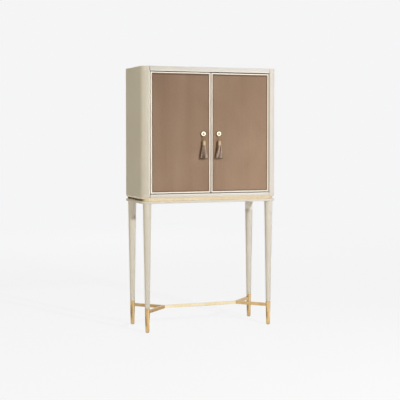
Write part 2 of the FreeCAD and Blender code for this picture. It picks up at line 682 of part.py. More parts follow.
hinge_places = {"near": "flap_from + hinge_inset", "far": "flap_to - hinge_inset"}
door_leaves = []
board_leaves = []
hinge_pins = []
leaf_blanks = []
for name, hinge_x in hinge_places.items():
    left_x = f"{hinge_x} - leaf_width / 2"
    outer_width = "(leaf_width - knuckle_middle) / 2 - knuckle_gap"
    right_x = f"{hinge_x} + knuckle_middle / 2 + knuckle_gap"
    pin = rod(f"hinge_pin_{name}", left_x, "hinge_y", "hinge_z", "hinge_pin_radius", "leaf_width", TO_RIGHT)
    hinge_pins.append(pin)

    door_parts = [box(f"door_leaf_{name}_plate", left_x, "panel_back_y",
                      "hinge_z - hinge_edge_gap - leaf_length", "leaf_width", "leaf", "leaf_length")]
    for end_name, start in (("left", left_x), ("right", right_x)):
        door_parts.append(box(f"door_leaf_{name}_{end_name}_tab", start, "panel_back_y",
                              "hinge_z - hinge_edge_gap", outer_width, "leaf", "hinge_edge_gap"))
        door_parts.append(rod(f"door_leaf_{name}_{end_name}_knuckle", start, "hinge_y", "hinge_z",
                              "knuckle_radius", outer_width, TO_RIGHT))
    door_leaves.append(cut(f"door_leaf_{name}", fuse(f"door_leaf_{name}_blank", door_parts), pin))

    middle_x = f"{hinge_x} - knuckle_middle / 2"
    plate = box(f"board_leaf_{name}_plate", left_x, "flap_y", "flap_low", "leaf_width", "leaf",
                "leaf_length")
    tab = box(f"board_leaf_{name}_tab", middle_x, "flap_y", "hinge_z", "knuckle_middle", "leaf",
              "hinge_edge_gap")
    knuckle = rod(f"board_leaf_{name}_knuckle", middle_x, "hinge_y", "hinge_z", "knuckle_radius",
                  "knuckle_middle", TO_RIGHT)
    bore = rod(f"board_leaf_{name}_bore", middle_x, "hinge_y", "hinge_z",
               "hinge_pin_radius + hinge_fit", "knuckle_middle", TO_RIGHT)
    leaf_blanks.append(plate)
    board_leaves.append(cut(f"board_leaf_{name}", fuse(f"board_leaf_{name}_blank", [plate, tab, knuckle]),
                            bore))
node(group("shelf_hinge_door_leaves", door_leaves))
node(group("shelf_hinge_board_leaves", board_leaves))
node(group("shelf_hinge_pins", hinge_pins))

ring_at = ("flap_middle", "flap_y + flap_thickness", "flap_low + flap_length - ring_from_edge")
ring_hole = rod("finger_ring_outside", *ring_at, "ring_radius", "flap_thickness", TO_FRONT)
ring_bore = rod("finger_ring_bore", *ring_at, "ring_bore", "flap_thickness", TO_FRONT)
node(cut("shelf_finger_ring", ring_hole, ring_bore))
flap = eased_board("fold_shelf_blank", "flap_from", "flap_y", "flap_low",
                   "flap_to - flap_from", "flap_thickness", "flap_length")
node(cut("fold_shelf_board", flap, ring_hole, *leaf_blanks))
node(rod("shelf_catch", "flap_middle + magnet_aside", "flap_y - magnet_gap",
         "flap_low + flap_length - magnet_from_edge", "magnet_radius",
         "flap_y - magnet_gap - panel_back_y", TO_FRONT))


# --- check and export ------------------------------------------------------------------------

doc.recompute()
for thing in doc.Objects:
    if "Invalid" in thing.State or "Error" in thing.State:
        raise RuntimeError(f"{thing.Label} did not build: {thing.State}")
for thing in nodes:
    if thing.Shape.isNull() or not thing.Shape.isValid() or not thing.Shape.Solids:
        raise RuntimeError(f"{thing.Label} is not a valid solid")

os.makedirs("parts", exist_ok=True)
for thing in nodes:
    thing.Shape.exportStep(f"parts/{thing.Label}.step")
print(len(nodes), "pieces")
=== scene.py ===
# %% [markdown]
# # A bar cabinet on slender legs
# The cabinet is a lacquered case with two veneered doors, carried by four turned legs that stand in
# brass shoes. A shelf folds out from the inside of the right door. The CAD frame holds every piece at
# its real place and size. This lesson keeps the pieces whose shape is already right and gives them a
# finish. It makes the ones anew that need finer forms: legs and shoes, softened bars, turned pulls, yarn
# tassels and screws.

# %% Load the frame
import json
import math

import bmesh
import bpy
from mathutils import Matrix, Vector

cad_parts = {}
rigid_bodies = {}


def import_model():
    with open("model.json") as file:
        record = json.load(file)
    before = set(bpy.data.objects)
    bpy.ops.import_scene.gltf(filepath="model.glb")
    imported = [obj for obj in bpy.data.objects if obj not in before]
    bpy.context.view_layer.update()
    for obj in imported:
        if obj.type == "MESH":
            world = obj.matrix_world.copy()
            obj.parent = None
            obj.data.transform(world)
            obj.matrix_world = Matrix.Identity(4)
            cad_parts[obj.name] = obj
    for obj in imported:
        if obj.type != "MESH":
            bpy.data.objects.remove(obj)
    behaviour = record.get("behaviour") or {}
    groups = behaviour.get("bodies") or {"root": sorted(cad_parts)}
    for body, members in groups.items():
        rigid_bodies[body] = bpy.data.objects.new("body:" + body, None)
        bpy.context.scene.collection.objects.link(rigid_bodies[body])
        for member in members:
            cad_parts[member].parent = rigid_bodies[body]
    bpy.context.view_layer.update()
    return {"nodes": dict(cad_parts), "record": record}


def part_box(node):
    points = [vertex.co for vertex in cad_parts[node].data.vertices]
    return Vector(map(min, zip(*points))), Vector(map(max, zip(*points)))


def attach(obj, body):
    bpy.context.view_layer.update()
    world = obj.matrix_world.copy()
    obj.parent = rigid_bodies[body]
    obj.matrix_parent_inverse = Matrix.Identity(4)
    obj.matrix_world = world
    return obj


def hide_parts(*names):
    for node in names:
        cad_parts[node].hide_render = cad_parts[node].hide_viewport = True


for leftover in list(bpy.data.objects):
    bpy.data.objects.remove(leftover)

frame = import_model()
NODES = frame["nodes"]
BODY_OF = {node: body for body, members in frame["record"]["behaviour"]["bodies"].items()
           for node in members}
MM = 0.001
SIDES = ("left", "right")
CORNERS = [f"{end}_{side}" for end in ("front", "back") for side in SIDES]

# %% [markdown]
# ## Camera
# A piece of furniture is shown from about chest height and from a little to one side, with a long lens
# so that its uprights stay nearly parallel. A small downward shift of the lens keeps the feet in view
# without tilting the camera much.

# %% Set up the camera
CAMERA_PLACE = Vector((-2.2141, -5.8471, 1.1538))
CAMERA_TURN = math.radians(20.68)
CAMERA_TILT = math.radians(2.506)
LENS = 93.1
LENS_SHIFT = -0.05

scene = bpy.context.scene
camera = bpy.data.objects.new("camera", bpy.data.cameras.new("camera"))
scene.collection.objects.link(camera)
scene.camera = camera
camera.location = CAMERA_PLACE
camera.rotation_euler = (math.pi / 2 - CAMERA_TILT, 0, -CAMERA_TURN)
camera.data.lens = LENS
camera.data.shift_y = LENS_SHIFT
camera.data.clip_end = 300
scene.view_settings.view_transform = "Standard"
print("camera:", tuple(round(v, 3) for v in camera.location), "lens", LENS)

# %% [markdown]
# ## A bench for node trees
# Shaders and geometry trees are both graphs of nodes. This small class places a node, fills its inputs
# with plain numbers or with the outputs of other nodes, and offers words for the sums that come up all
# the time, so that a finish reads like a recipe.

# %% The bench
class Bench:
    """A node tree, with short words for placing and joining nodes."""

    def __init__(self, tree):
        self.tree = tree

    def add(self, kind, inputs=None, **settings):
        """Place a node, set its properties, and fill its inputs."""
        made = self.tree.nodes.new(kind)
        for key, value in settings.items():
            setattr(made, key, value)
        for key, value in (inputs or {}).items():
            self.feed(made.inputs[key], value)
        return made

    def feed(self, socket, value):
        """Fill an input with a plain value or with the output of another node."""
        if isinstance(value, bpy.types.NodeSocket):
            self.tree.links.new(value, socket)
        else:
            socket.default_value = value

    def sum(self, operation, *values):
        """One step of arithmetic on numbers."""
        return self.add("ShaderNodeMath", dict(enumerate(values)), operation=operation).outputs[0]

    def chain(self, operation, first, *others):
        """The same step with one number after another."""
        for other in others:
            first = self.sum(operation, first, other)
        return first

    # The four commonest steps have words of their own.
    def plus(self, *values):
        return self.chain("ADD", *values)

    def less(self, *values):
        return self.chain("SUBTRACT", *values)

    def times(self, *values):
        return self.chain("MULTIPLY", *values)

    def most(self, *values):
        return self.chain("MAXIMUM", *values)

    def vector(self, operation, *values):
        """One step of arithmetic on vectors. It gives a vector, or the number that the step measures."""
        made = self.add("ShaderNodeVectorMath", dict(enumerate(values)), operation=operation)
        return made.outputs["Value" if operation in ("DOT_PRODUCT", "LENGTH") else "Vector"]

    def scale(self, vector, factor):
        """A vector made longer, or a colour made brighter, by a factor."""
        return self.add("ShaderNodeVectorMath", {0: vector, "Scale": factor}, operation="SCALE").outputs[0]

    def where(self):
        """The place of a point of the surface, in the object's own metres."""
        return self.add("ShaderNodeTexCoord").outputs["Object"]

    def split(self, vector):
        """The three numbers of a vector, under the names X, Y and Z."""
        return self.add("ShaderNodeSeparateXYZ", {0: vector}).outputs

    def join(self, x=0.0, y=0.0, z=0.0):
        return self.add("ShaderNodeCombineXYZ", {"X": x, "Y": y, "Z": z}).outputs[0]

    def squeeze(self, vector, scale):
        """Places scaled along the axes, so that a pattern on them stretches where the scale is small."""
        return self.add("ShaderNodeMapping", {"Vector": vector, "Scale": scale}).outputs[0]

    def remap(self, value, low, high, to_low=0.0, to_high=1.0):
        """Stretch a range of a value to another range, clamped at both ends."""
        return self.add("ShaderNodeMapRange", {"Value": value, "From Min": low, "From Max": high,
                                               "To Min": to_low, "To Max": to_high}).outputs[0]

    def band(self, value, start, full, fading, end, share=1.0):
        """A mask that rises from start to full, stays at its share, and fades out from fading to end."""
        return self.times(self.remap(value, start, full), self.remap(value, end, fading, 0.0, share))

    def blend(self, share, first, second):
        """Mix two colours."""
        made = self.add("ShaderNodeMix", data_type="RGBA")
        for index, value in ((0, share), (6, first), (7, second)):
            self.feed(made.inputs[index], value)
        return made.outputs[2]

    def noise(self, vector, scale, detail=2.0, roughness=0.5, distortion=0.0):
        """Cloudy noise from 0 to 1, at a number of features per metre."""
        return self.add("ShaderNodeTexNoise", {"Vector": vector, "Scale": scale, "Detail": detail,
                                               "Roughness": roughness, "Distortion": distortion}).outputs[0]

    def group(self, tree, inputs):
        """Place a node group and give its outputs."""
        return self.add("ShaderNodeGroup", inputs, node_tree=tree).outputs


print("bench words:", len([word for word in vars(Bench) if not word.startswith("_")]))

# %% [markdown]
# A node group is a tree with named sockets, so that other trees can use it like a node of their own. And
# a colour is easier to name as the eye sees it, from 0 to 255, while shaders reckon in amounts of light.

# %% Groups and colours
FLOAT, INTEGER, COLOUR = "NodeSocketFloat", "NodeSocketInt", "NodeSocketColor"
VECTOR, GEOMETRY, MATERIAL = "NodeSocketVector", "NodeSocketGeometry", "NodeSocketMaterial"


def new_group(kind, name, inputs, outputs):
    """A node group with named sockets: its tree, its bench, what it is given and what it gives."""
    tree = bpy.data.node_groups.new(name, kind)
    for label, (socket_type, start) in inputs.items():
        made = tree.interface.new_socket(name=label, in_out="INPUT", socket_type=socket_type)
        if start is not None:
            made.default_value = start
    for label, socket_type in outputs.items():
        tree.interface.new_socket(name=label, in_out="OUTPUT", socket_type=socket_type)
    bench = Bench(tree)
    given = bench.add("NodeGroupInput").outputs
    gives = bench.add("NodeGroupOutput").inputs
    return tree, bench, given, gives


def linear(red, green, blue):
    """A colour as the eye names it, from 0 to 255, turned into the light values that shaders use."""
    return tuple(((v / 255 + 0.055) / 1.055) ** 2.4 for v in (red, green, blue)) + (1.0,)


print("middle grey as light:", round(linear(128, 128, 128)[0], 3))

# %% [markdown]
# ## Effects that several finishes share
# On lacquer the edges are a shade lighter and smoother, partly as the wear of hands and cloths and partly
# as a painted edge highlight; on metal, rubbed edges stay bright. The mask compares the true surface
# direction with one that the Bevel node has rounded: they only differ near an edge. A little noise keeps
# the mask from running along every edge like a drawn line.

# %% Group: edge rub
edge_rub_and_light, bench, given, gives = new_group(
    "ShaderNodeTree", "edge_rub_and_light", {"Width": (FLOAT, 1.5 * MM), "Strength": (FLOAT, 0.5)}, {"Mask": FLOAT})
true_normal = bench.add("ShaderNodeNewGeometry").outputs["Normal"]
round_normal = bench.add("ShaderNodeBevel", {"Radius": given["Width"]}, samples=4).outputs[0]
edge = bench.remap(bench.less(1.0, bench.vector("DOT_PRODUCT", true_normal, round_normal)), 0.01, 0.2)
patches = bench.remap(bench.noise(bench.where(), 60.0, 3.0), 0.35, 0.65, 0.25, 1.0)
bench.feed(gives["Mask"], bench.times(edge, patches, given["Strength"]))
print("group:", edge_rub_and_light.name)

# %% [markdown]
# Fine dust settles on what faces up. It makes a surface paler and rougher, in soft patches.

# %% Group: settled dust
settled_dust, bench, given, gives = new_group(
    "ShaderNodeTree", "settled_dust", {"Amount": (FLOAT, 0.2)}, {"Mask": FLOAT})
facing_up = bench.split(bench.add("ShaderNodeNewGeometry").outputs["Normal"])["Z"]
drifts = bench.remap(bench.noise(bench.where(), 18.0, 5.0, 0.6), 0.3, 0.75, 0.3, 1.0)
bench.feed(gives["Mask"], bench.times(bench.remap(facing_up, 0.6, 0.98), drifts, given["Amount"]))
print("group:", settled_dust.name)

# %% [markdown]
# Sprayed lacquer is never one flat colour. The coat is a touch thicker here and thinner there, rubbing
# down leaves faint upright trails, and the drying film pulls into a very shallow orange peel. A slope in
# colour across the object is painted side light: darker and yellower to the left, lighter to the right.
# The edges are lightened, partly as rubbed wear and partly as a painted edge highlight, and how much is an
# input.

# %% Group: lacquer film
lacquer_film, bench, given, gives = new_group(
    "ShaderNodeTree", "lacquer_film",
    {"Colour": (COLOUR, linear(224, 218, 204)), "Clouding": (FLOAT, 0.06), "Roughness": (FLOAT, 0.36),
     "Side Light Slope": (FLOAT, 0.0), "Rub And Edge Light": (FLOAT, 0.35)},
    {"Colour": COLOUR, "Roughness": FLOAT, "Height": FLOAT})
where = bench.where()
clouds = bench.noise(where, 5.0, 3.0)
trails = bench.noise(bench.squeeze(where, (1.0, 1.0, 0.06)), 320.0, 2.0)
peel = bench.noise(where, 420.0, 1.0)
pinholes = bench.remap(bench.noise(where, 1500.0, 1.0), 0.72, 0.8)
uneven = bench.times(bench.plus(bench.less(clouds, 0.5), bench.times(bench.less(trails, 0.5), 0.4)),
                     given["Clouding"])
tone = bench.less(bench.plus(uneven, 1.0), bench.times(pinholes, 0.03))
# Painted side light: darker and yellower to the left, lighter to the right.
side_light = bench.times(bench.split(where)["X"], given["Side Light Slope"])
fading = bench.join(*(bench.sum("MULTIPLY_ADD", side_light, share, 1.0) for share in (0.9, 0.8, 1.4)))
tinted = bench.scale(bench.vector("MULTIPLY", given["Colour"], fading), tone)
rub_and_edge_light = bench.group(edge_rub_and_light, {"Width": 1.8 * MM, "Strength": given["Rub And Edge Light"]})["Mask"]
dust = bench.group(settled_dust, {"Amount": 0.12})["Mask"]
# Edges lightened: rubbed wear, and a painted edge highlight.
edge_lightened = bench.blend(rub_and_edge_light, tinted, linear(246, 240, 226))
bench.feed(gives["Colour"], bench.blend(dust, edge_lightened, linear(205, 200, 190)))
rough = bench.plus(given["Roughness"], bench.times(bench.less(clouds, 0.5), 0.12))
bench.feed(gives["Roughness"], bench.plus(rough, bench.times(dust, 0.5)))
bench.feed(gives["Height"], bench.less(bench.plus(peel, bench.times(trails, 0.3)), pinholes))
print("group:", lacquer_film.name)

# %% [markdown]
# Veneer is cut along the trunk, so everything in it runs with the grain: broad bands of darker and
# lighter wood, silky fibre streaks, and short dark pores. The group works in a space that the material
# has already squeezed along the grain, and each noise comes out as streaks. A slope over the object is
# painted light: on the doors it makes the veneer darker towards the top and paler towards the lower right.

# %% Group: wood figure
wood_figure, bench, given, gives = new_group(
    "ShaderNodeTree", "wood_figure",
    {"Vector": (VECTOR, None), "Light": (COLOUR, linear(168, 143, 122)),
     "Dark": (COLOUR, linear(140, 112, 93)), "Figure": (FLOAT, 1.0), "Pores": (FLOAT, 0.25),
     "Slope": (VECTOR, None), "Level": (FLOAT, 1.0)},
    {"Colour": COLOUR, "Roughness": FLOAT, "Height": FLOAT})
where = bench.where()
bands = bench.noise(given["Vector"], 9.0, 2.0, 0.5, 0.8)
flame = bench.noise(where, 3.2, 2.0, 0.5, 0.5)
fibres = bench.noise(given["Vector"], 240.0, 3.0, 0.6)
pores = bench.remap(bench.noise(given["Vector"], 1300.0, 1.0), 0.6, 0.72)
figure = bench.plus(bench.times(bands, 0.42), bench.times(flame, 0.5), bench.times(fibres, 0.14))
figure = bench.plus(bench.times(bench.less(figure, 0.53), bench.times(given["Figure"], 2.6)), 0.5)
mixed = bench.blend(bench.remap(figure, 0.0, 1.0), given["Dark"], given["Light"])
light_drift = bench.plus(given["Level"], bench.vector("DOT_PRODUCT", where, given["Slope"]))
wood = bench.scale(mixed, light_drift)
bench.feed(gives["Colour"], bench.blend(bench.times(pores, given["Pores"]), wood, linear(74, 54, 42)))
bench.feed(gives["Roughness"], bench.plus(0.4, bench.times(bench.less(fibres, pores), 0.14)))
bench.feed(gives["Height"], bench.less(bench.times(fibres, 0.6), pores))
print("group:", wood_figure.name)

# %% [markdown]
# The proud strips round a panel shade it, so a thin darker line is painted all round the panel as shadow,
# broadest under the top strip, which keeps the light off. The mask is 1 against the strips and fades out
# over a few millimetres. It takes the absolute value of the place first, so both doors get it from the
# numbers of one.

# %% Group: painted panel shadow
painted_panel_shadow, bench, given, gives = new_group(
    "ShaderNodeTree", "painted_panel_shadow",
    {"Centre": (VECTOR, None), "Half Size": (VECTOR, None), "Width": (FLOAT, 8.5 * MM),
     "Width At Top": (FLOAT, 10.5 * MM)}, {"Mask": FLOAT})
where = bench.where()
off_centre = bench.vector("SUBTRACT", bench.vector("ABSOLUTE", where), given["Centre"])
margin = bench.split(bench.vector("SUBTRACT", given["Half Size"], bench.vector("ABSOLUTE", off_centre)))
nearest = bench.sum("MINIMUM", margin["X"], margin["Z"])
wander = bench.remap(bench.noise(where, 30.0, 3.0), 0.3, 0.7, 0.75, 1.25)
closeness = bench.less(1.0, bench.sum("DIVIDE", nearest, bench.times(given["Width"], wander)))
all_round = bench.times(bench.remap(closeness, 0.0, 0.7), 0.8)
panel_top = bench.plus(bench.split(given["Centre"])["Z"], bench.split(given["Half Size"])["Z"])
below_top = bench.less(panel_top, bench.split(where)["Z"])
under_top = bench.less(1.0, bench.sum("DIVIDE", below_top, given["Width At Top"]))
bench.feed(gives["Mask"], bench.most(all_round, bench.remap(under_top, 0.0, 0.5)))
print("group:", painted_panel_shadow.name)

# %% [markdown]
# Brass and steel fittings are polished on a belt or on the lathe, which leaves hair-fine lines in one
# direction. Handling and air add cloudy tarnish between them, while rubbed edges stay bright.

# %% Group: metal polish
metal_polish, bench, given, gives = new_group(
    "ShaderNodeTree", "metal_polish",
    {"Vector": (VECTOR, None), "Bright": (COLOUR, linear(224, 198, 150)),
     "Tarnish": (COLOUR, linear(196, 162, 108)), "Roughness": (FLOAT, 0.24)},
    {"Colour": COLOUR, "Roughness": FLOAT, "Height": FLOAT})
where = bench.where()
lines = bench.noise(given["Vector"], 900.0, 2.0)
cloud = bench.noise(where, 22.0, 4.0, 0.6)
spots = bench.remap(bench.noise(where, 160.0, 3.0), 0.62, 0.74)
rub_and_edge_light = bench.group(edge_rub_and_light, {"Width": 0.8 * MM, "Strength": 0.8})["Mask"]
dull = bench.plus(bench.times(bench.remap(cloud, 0.38, 0.66), 0.5), bench.times(spots, 0.2))
dull = bench.times(dull, bench.less(1.0, rub_and_edge_light))
bench.feed(gives["Colour"], bench.blend(dull, given["Bright"], given["Tarnish"]))
rough = bench.plus(given["Roughness"], bench.times(dull, 0.14))
bench.feed(gives["Roughness"], bench.plus(rough, bench.times(bench.less(lines, 0.5), 0.08)))
bench.feed(gives["Height"], bench.less(lines, bench.times(spots, 0.3)))
print("group:", metal_polish.name)

# %% [markdown]
# ## Finishes
# A material starts as one Principled shader. Values that are the same all over are set on the shader's
# own sockets, and the groups feed only what changes over the surface.

# %% A plain start for every finish
def new_finish(name, **settings):
    """A material with a Principled shader: the material, its bench and the shader."""
    material = bpy.data.materials.new(name)
    material.use_nodes = True
    shader = material.node_tree.nodes["Principled BSDF"]
    for label, value in settings.items():
        shader.inputs[label.replace("_", " ")].default_value = value
    return material, Bench(material.node_tree), shader


def emboss(bench, shader, height, depth):
    """Let a height shape the light on the surface, with a real depth in metres."""
    bump = bench.add("ShaderNodeBump", {"Height": height, "Distance": depth})
    bench.feed(shader.inputs["Normal"], bump.outputs[0])


def dress(bench, shader, group, inputs, depth):
    """Feed a shader from a finish group, with its height as a bump."""
    made = bench.group(group, inputs)
    bench.feed(shader.inputs["Base Color"], made["Colour"])
    bench.feed(shader.inputs["Roughness"], made["Roughness"])
    emboss(bench, shader, made["Height"], depth)


print("groups:", [tree.name for tree in bpy.data.node_groups])

# %% [markdown]
# Three makers cover almost everything on the cabinet: lacquer, veneer and metal. A pattern is turned to
# run along a board or round a turned piece by squeezing the places that it reads.

# %% Makers of lacquer, veneer and metal
LACQUER_DEPTH, VENEER_DEPTH, METAL_DEPTH = 0.04 * MM, 0.08 * MM, 0.01 * MM
GRAIN_UP, GRAIN_ACROSS = (1.0, 1.0, 0.05), (0.05, 1.0, 1.0)
LINES_UP, LINES_ACROSS, LINES_ROUND = (1.0, 1.0, 0.02), (0.02, 1.0, 1.0), (0.03, 0.03, 1.0)


def lacquer(name, colour, clouding, side_light_slope=0.0, rub_and_edge_light=0.35):
    """Satin lacquer over wood."""
    material, bench, shader = new_finish(name, Coat_Weight=0.1, Coat_Roughness=0.2)
    dress(bench, shader, lacquer_film, {"Colour": colour, "Clouding": clouding, "Side Light Slope": side_light_slope,
                                        "Rub And Edge Light": rub_and_edge_light}, LACQUER_DEPTH)
    return material


def veneer(name, light, dark, squeeze, figure=1.0, pores=0.25, light_slope=(0.0, 0.0, 0.0), level=1.0):
    """Wood whose grain runs along the axis that is squeezed most, and whose tone follows a painted light
    slope.
    """
    material, bench, shader = new_finish(name, Specular_IOR_Level=0.35)
    grain = bench.squeeze(bench.where(), squeeze)
    dress(bench, shader, wood_figure, {"Vector": grain, "Light": light, "Dark": dark, "Figure": figure,
                                       "Pores": pores, "Slope": light_slope, "Level": level}, VENEER_DEPTH)
    return material


def metal(name, bright, tarnish, squeeze, roughness, metallic=1.0):
    """Metal with polishing lines along the axes that are squeezed."""
    material, bench, shader = new_finish(name, Metallic=metallic)
    lines = bench.squeeze(bench.where(), squeeze)
    dress(bench, shader, metal_polish, {"Vector": lines, "Bright": bright, "Tarnish": tarnish,
                                        "Roughness": roughness}, METAL_DEPTH)
    return material


print("deepest bump, veneer:", VENEER_DEPTH * 1000, "mm")

# %% [markdown]
# Every board on a real cabinet comes out of its own batch. The rails are a shade greyer than the case,
# with less edge lightening, and the door frames are the palest. Each brass piece is set a shade brighter
# or darker as painted light, for the light that it catches: pale on the knobs and the bar, darker on the
# arms and the link.

# %% The finishes
cream = lacquer("cream_lacquer_finish", linear(219, 213, 199), 0.05, 0.13)
leg_cream = lacquer("leg_lacquer_finish", linear(219, 213, 199), 0.05, 0.04)
frame_cream = lacquer("frame_lacquer_finish", linear(249, 241, 226), 0.04)
top_cream = lacquer("top_rail_finish", linear(214, 210, 202), 0.05, 0.13, 0.08)
foot_cream = lacquer("bottom_rail_finish", linear(220, 214, 204), 0.05, 0.13, 0.08)
board_paint = lacquer("back_board_finish", linear(203, 196, 182), 0.1)

INSIDE_LIGHT, INSIDE_DARK = linear(164, 138, 117), linear(132, 104, 86)
# The slope paints light: darker towards the top, paler towards the lower right.
door_wood = veneer("door_veneer_finish", linear(161, 134, 110), linear(139, 111, 88), GRAIN_UP,
                   light_slope=(0.2, 0.0, -0.34), level=1.345)
shelf_wood = veneer("shelf_veneer_finish", INSIDE_LIGHT, INSIDE_DARK, GRAIN_ACROSS)
upright_wood = veneer("partition_veneer_finish", INSIDE_LIGHT, INSIDE_DARK, GRAIN_UP)
plinth_wood = veneer("plinth_wood_finish", linear(196, 170, 136), linear(170, 140, 104), GRAIN_ACROSS,
                     figure=1.2, pores=0.4)

BRASS_BRIGHT, BRASS_TARNISH = linear(231, 203, 154), linear(214, 180, 126)
# Brass brightness is set per piece as painted light, from the pale knobs to the dark link.
brass_round = metal("brass_turned_finish", BRASS_BRIGHT, BRASS_TARNISH, LINES_ROUND, 0.22)
brass_bar = metal("brass_bar_finish", BRASS_BRIGHT, BRASS_TARNISH, LINES_ACROSS, 0.22)
brass_band = metal("brass_band_finish", linear(232, 212, 176), linear(218, 192, 150), LINES_ACROSS, 0.26)
brass_rail = metal("brass_rail_finish", linear(241, 226, 190), linear(231, 208, 164), LINES_ACROSS, 0.2)
brass_shoe = metal("brass_shoe_finish", linear(222, 190, 137), linear(202, 165, 111), LINES_ROUND, 0.22)
brass_arm = metal("brass_arm_finish", linear(214, 182, 131), linear(192, 156, 104), LINES_ACROSS, 0.24)
brass_knob = metal("brass_knob_finish", linear(244, 230, 200), linear(234, 212, 172), LINES_ROUND, 0.14)
brass_cap = metal("brass_cap_finish", linear(222, 199, 161), linear(208, 180, 140), LINES_ROUND, 0.42)
brass_link = metal("brass_link_finish", linear(172, 142, 98), linear(150, 118, 78), LINES_UP, 0.3)
steel = metal("steel_finish", linear(196, 198, 200), linear(160, 162, 164), LINES_UP, 0.3)
print("finishes:", len(bpy.data.materials))

# %% [markdown]
# ## Painted shade and highlights
# The next cells open a finish again and blend a second tone over its colour wherever a mask says so. Most
# of these tones are painted shade and painted highlights. The masks are bands in the object's own metres,
# taken from the boxes of the pieces, so they stay in place when a door swings. The first is the painted
# shadow round the door panels.

# %% Painted shadow round the door panels
def reopen(finish):
    """The bench and the shader of a finish that was made before."""
    return Bench(finish.node_tree), finish.node_tree.nodes["Principled BSDF"]


def tone_over(bench, shader, mask, tone):
    """Blend a tone over the colour that a shader has so far."""
    colour = shader.inputs["Base Color"]
    bench.feed(colour, bench.blend(mask, colour.links[0].from_socket, tone))


panel_low, panel_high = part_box("door_panel_right")
bench, shader = reopen(door_wood)
panel_shadow = bench.group(painted_panel_shadow, {"Centre": (panel_low + panel_high) / 2,
                                   "Half Size": (panel_high - panel_low) / 2})["Mask"]
# Painted shadow of the proud strips all round the panel.
tone_over(bench, shader, bench.times(panel_shadow, 0.86), linear(84, 62, 48))
print("panel:", round(panel_high.x - panel_low.x, 4), "by", round(panel_high.z - panel_low.z, 4))

# %% [markdown]
# The meeting stiles are toned a shade darker, the left one most. Painted shade darkens the frames more in
# the corner beside the middle gap, along the outer edge, over the left panel and under the top rail on the
# right.

# %% Painted shade on the door frames, and darker meeting stiles
DARKER_TONE = linear(150, 132, 112)
MIDDLE, PAST_MIDDLE = 0.0, 0.03
STILE = panel_low.x
PANEL_SIDE, PANEL_TOP = panel_high.x, panel_high.z
DOOR_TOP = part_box("door_frame_right")[1].z
bench, shader = reopen(frame_cream)
place = bench.split(bench.where())
across, up = place["X"], place["Z"]
darker_stiles = bench.plus(bench.band(across, -1.4 * STILE, -1.1 * STILE, 0.3 * STILE, 0.35 * STILE, 0.08),
                     bench.band(across, 0.3 * STILE, 0.35 * STILE, 1.1 * STILE, 1.4 * STILE, 0.02))
stile_gap_shade = bench.band(across, 1.5 * MM, 2.0 * MM, 5.8 * MM, 7.0 * MM, 0.34)
outer_edge_shade = bench.remap(across, PANEL_SIDE + 3.4 * MM, PANEL_SIDE + 4.6 * MM, 0.0, 0.62)
between_stiles = bench.sum("COMPARE", bench.sum("ABSOLUTE", across), (STILE + PANEL_SIDE) / 2,
                           (PANEL_SIDE - STILE) / 2)
shade_over_panel = bench.times(bench.band(up, PANEL_TOP - 0.5 * MM, PANEL_TOP, PANEL_TOP + 1.4 * MM,
                                    PANEL_TOP + 2.4 * MM, 0.7),
                         bench.remap(across, PAST_MIDDLE, MIDDLE), between_stiles)
shade_under_rail = bench.times(bench.remap(up, DOOR_TOP - 2.6 * MM, DOOR_TOP - 1.4 * MM, 0.0, 0.7),
                         bench.remap(across, MIDDLE, PAST_MIDDLE))
# Darker stiles; painted shade by the gap, on the outer edge, over the panel and under the rail.
tone_over(bench, shader, bench.most(darker_stiles, stile_gap_shade, outer_edge_shade, shade_over_panel, shade_under_rail), DARKER_TONE)
print("stile:", round(STILE * 1000, 1), "mm from the middle")

# %% [markdown]
# A pale line is painted along the door side of both rails, as a highlight on the rounded edge. The narrow
# faces in the gap above and below the doors are painted darker, as shade, most on the right. One measure
# serves both rails: how far a point lies beyond the opening that the doors fill.

# %% Rails beside the doors
OPENING_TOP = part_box("top_rail")[0].z
OPENING_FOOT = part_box("bottom_rail")[1].z
for rail in (top_cream, foot_cream):
    bench, shader = reopen(rail)
    place = bench.split(bench.where())
    from_middle = bench.sum("ABSOLUTE", bench.less(place["Z"], (OPENING_TOP + OPENING_FOOT) / 2))
    beyond = bench.less(from_middle, (OPENING_TOP - OPENING_FOOT) / 2)
    # Painted highlight along the door side of the rail.
    wipe_and_edge_light = bench.band(beyond, 0.4 * MM, 1.4 * MM, 4.0 * MM, 6.0 * MM, 0.55)
    tone_over(bench, shader, wipe_and_edge_light, linear(250, 247, 238))
    # Painted shade in the gap beside the doors.
    rail_gap_shade = bench.times(bench.remap(beyond, 1.2 * MM, 0.4 * MM),
                         bench.remap(place["X"], -0.05, 0.05, 0.0, 0.6))
    tone_over(bench, shader, rail_gap_shade, linear(120, 104, 86))
print("opening:", round((OPENING_TOP - OPENING_FOOT) * 1000, 1), "mm high")

# %% [markdown]
# Along the doors a pale line is painted on the left post as a highlight, and a darker line on the right
# one as shade. Where the left side turns round to the front, painted shade makes it a little darker, too.

# %% Posts beside the doors
DOOR_GAP = 2.2 * MM
POST_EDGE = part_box("door_frame_right")[1].x + DOOR_GAP
bench, shader = reopen(cream)
place = bench.split(bench.where())
beside = bench.band(place["Z"], OPENING_FOOT - 4 * MM, OPENING_FOOT, OPENING_TOP, OPENING_TOP + 4 * MM)
left_post_highlight = bench.band(place["X"], -POST_EDGE - 9.5 * MM, -POST_EDGE - 7.5 * MM, -POST_EDGE - 3 * MM,
                         -POST_EDGE - 1.5 * MM, 0.7)
corner_shade = bench.band(place["X"], -POST_EDGE - 42 * MM, -POST_EDGE - 34 * MM, -POST_EDGE - 12 * MM,
                         -POST_EDGE - 7 * MM, 0.14)
right_post_shade = bench.band(place["X"], POST_EDGE - 1 * MM, POST_EDGE, POST_EDGE + 6 * MM,
                        POST_EDGE + 7.5 * MM, 0.35)
# Painted highlight on the left post; painted shade on the right post and round the left corner.
tone_over(bench, shader, bench.times(left_post_highlight, beside), linear(252, 248, 238))
tone_over(bench, shader, bench.times(bench.most(right_post_shade, corner_shade), beside), DARKER_TONE)
print("post edge:", round(POST_EDGE * 1000, 1), "mm from the middle")
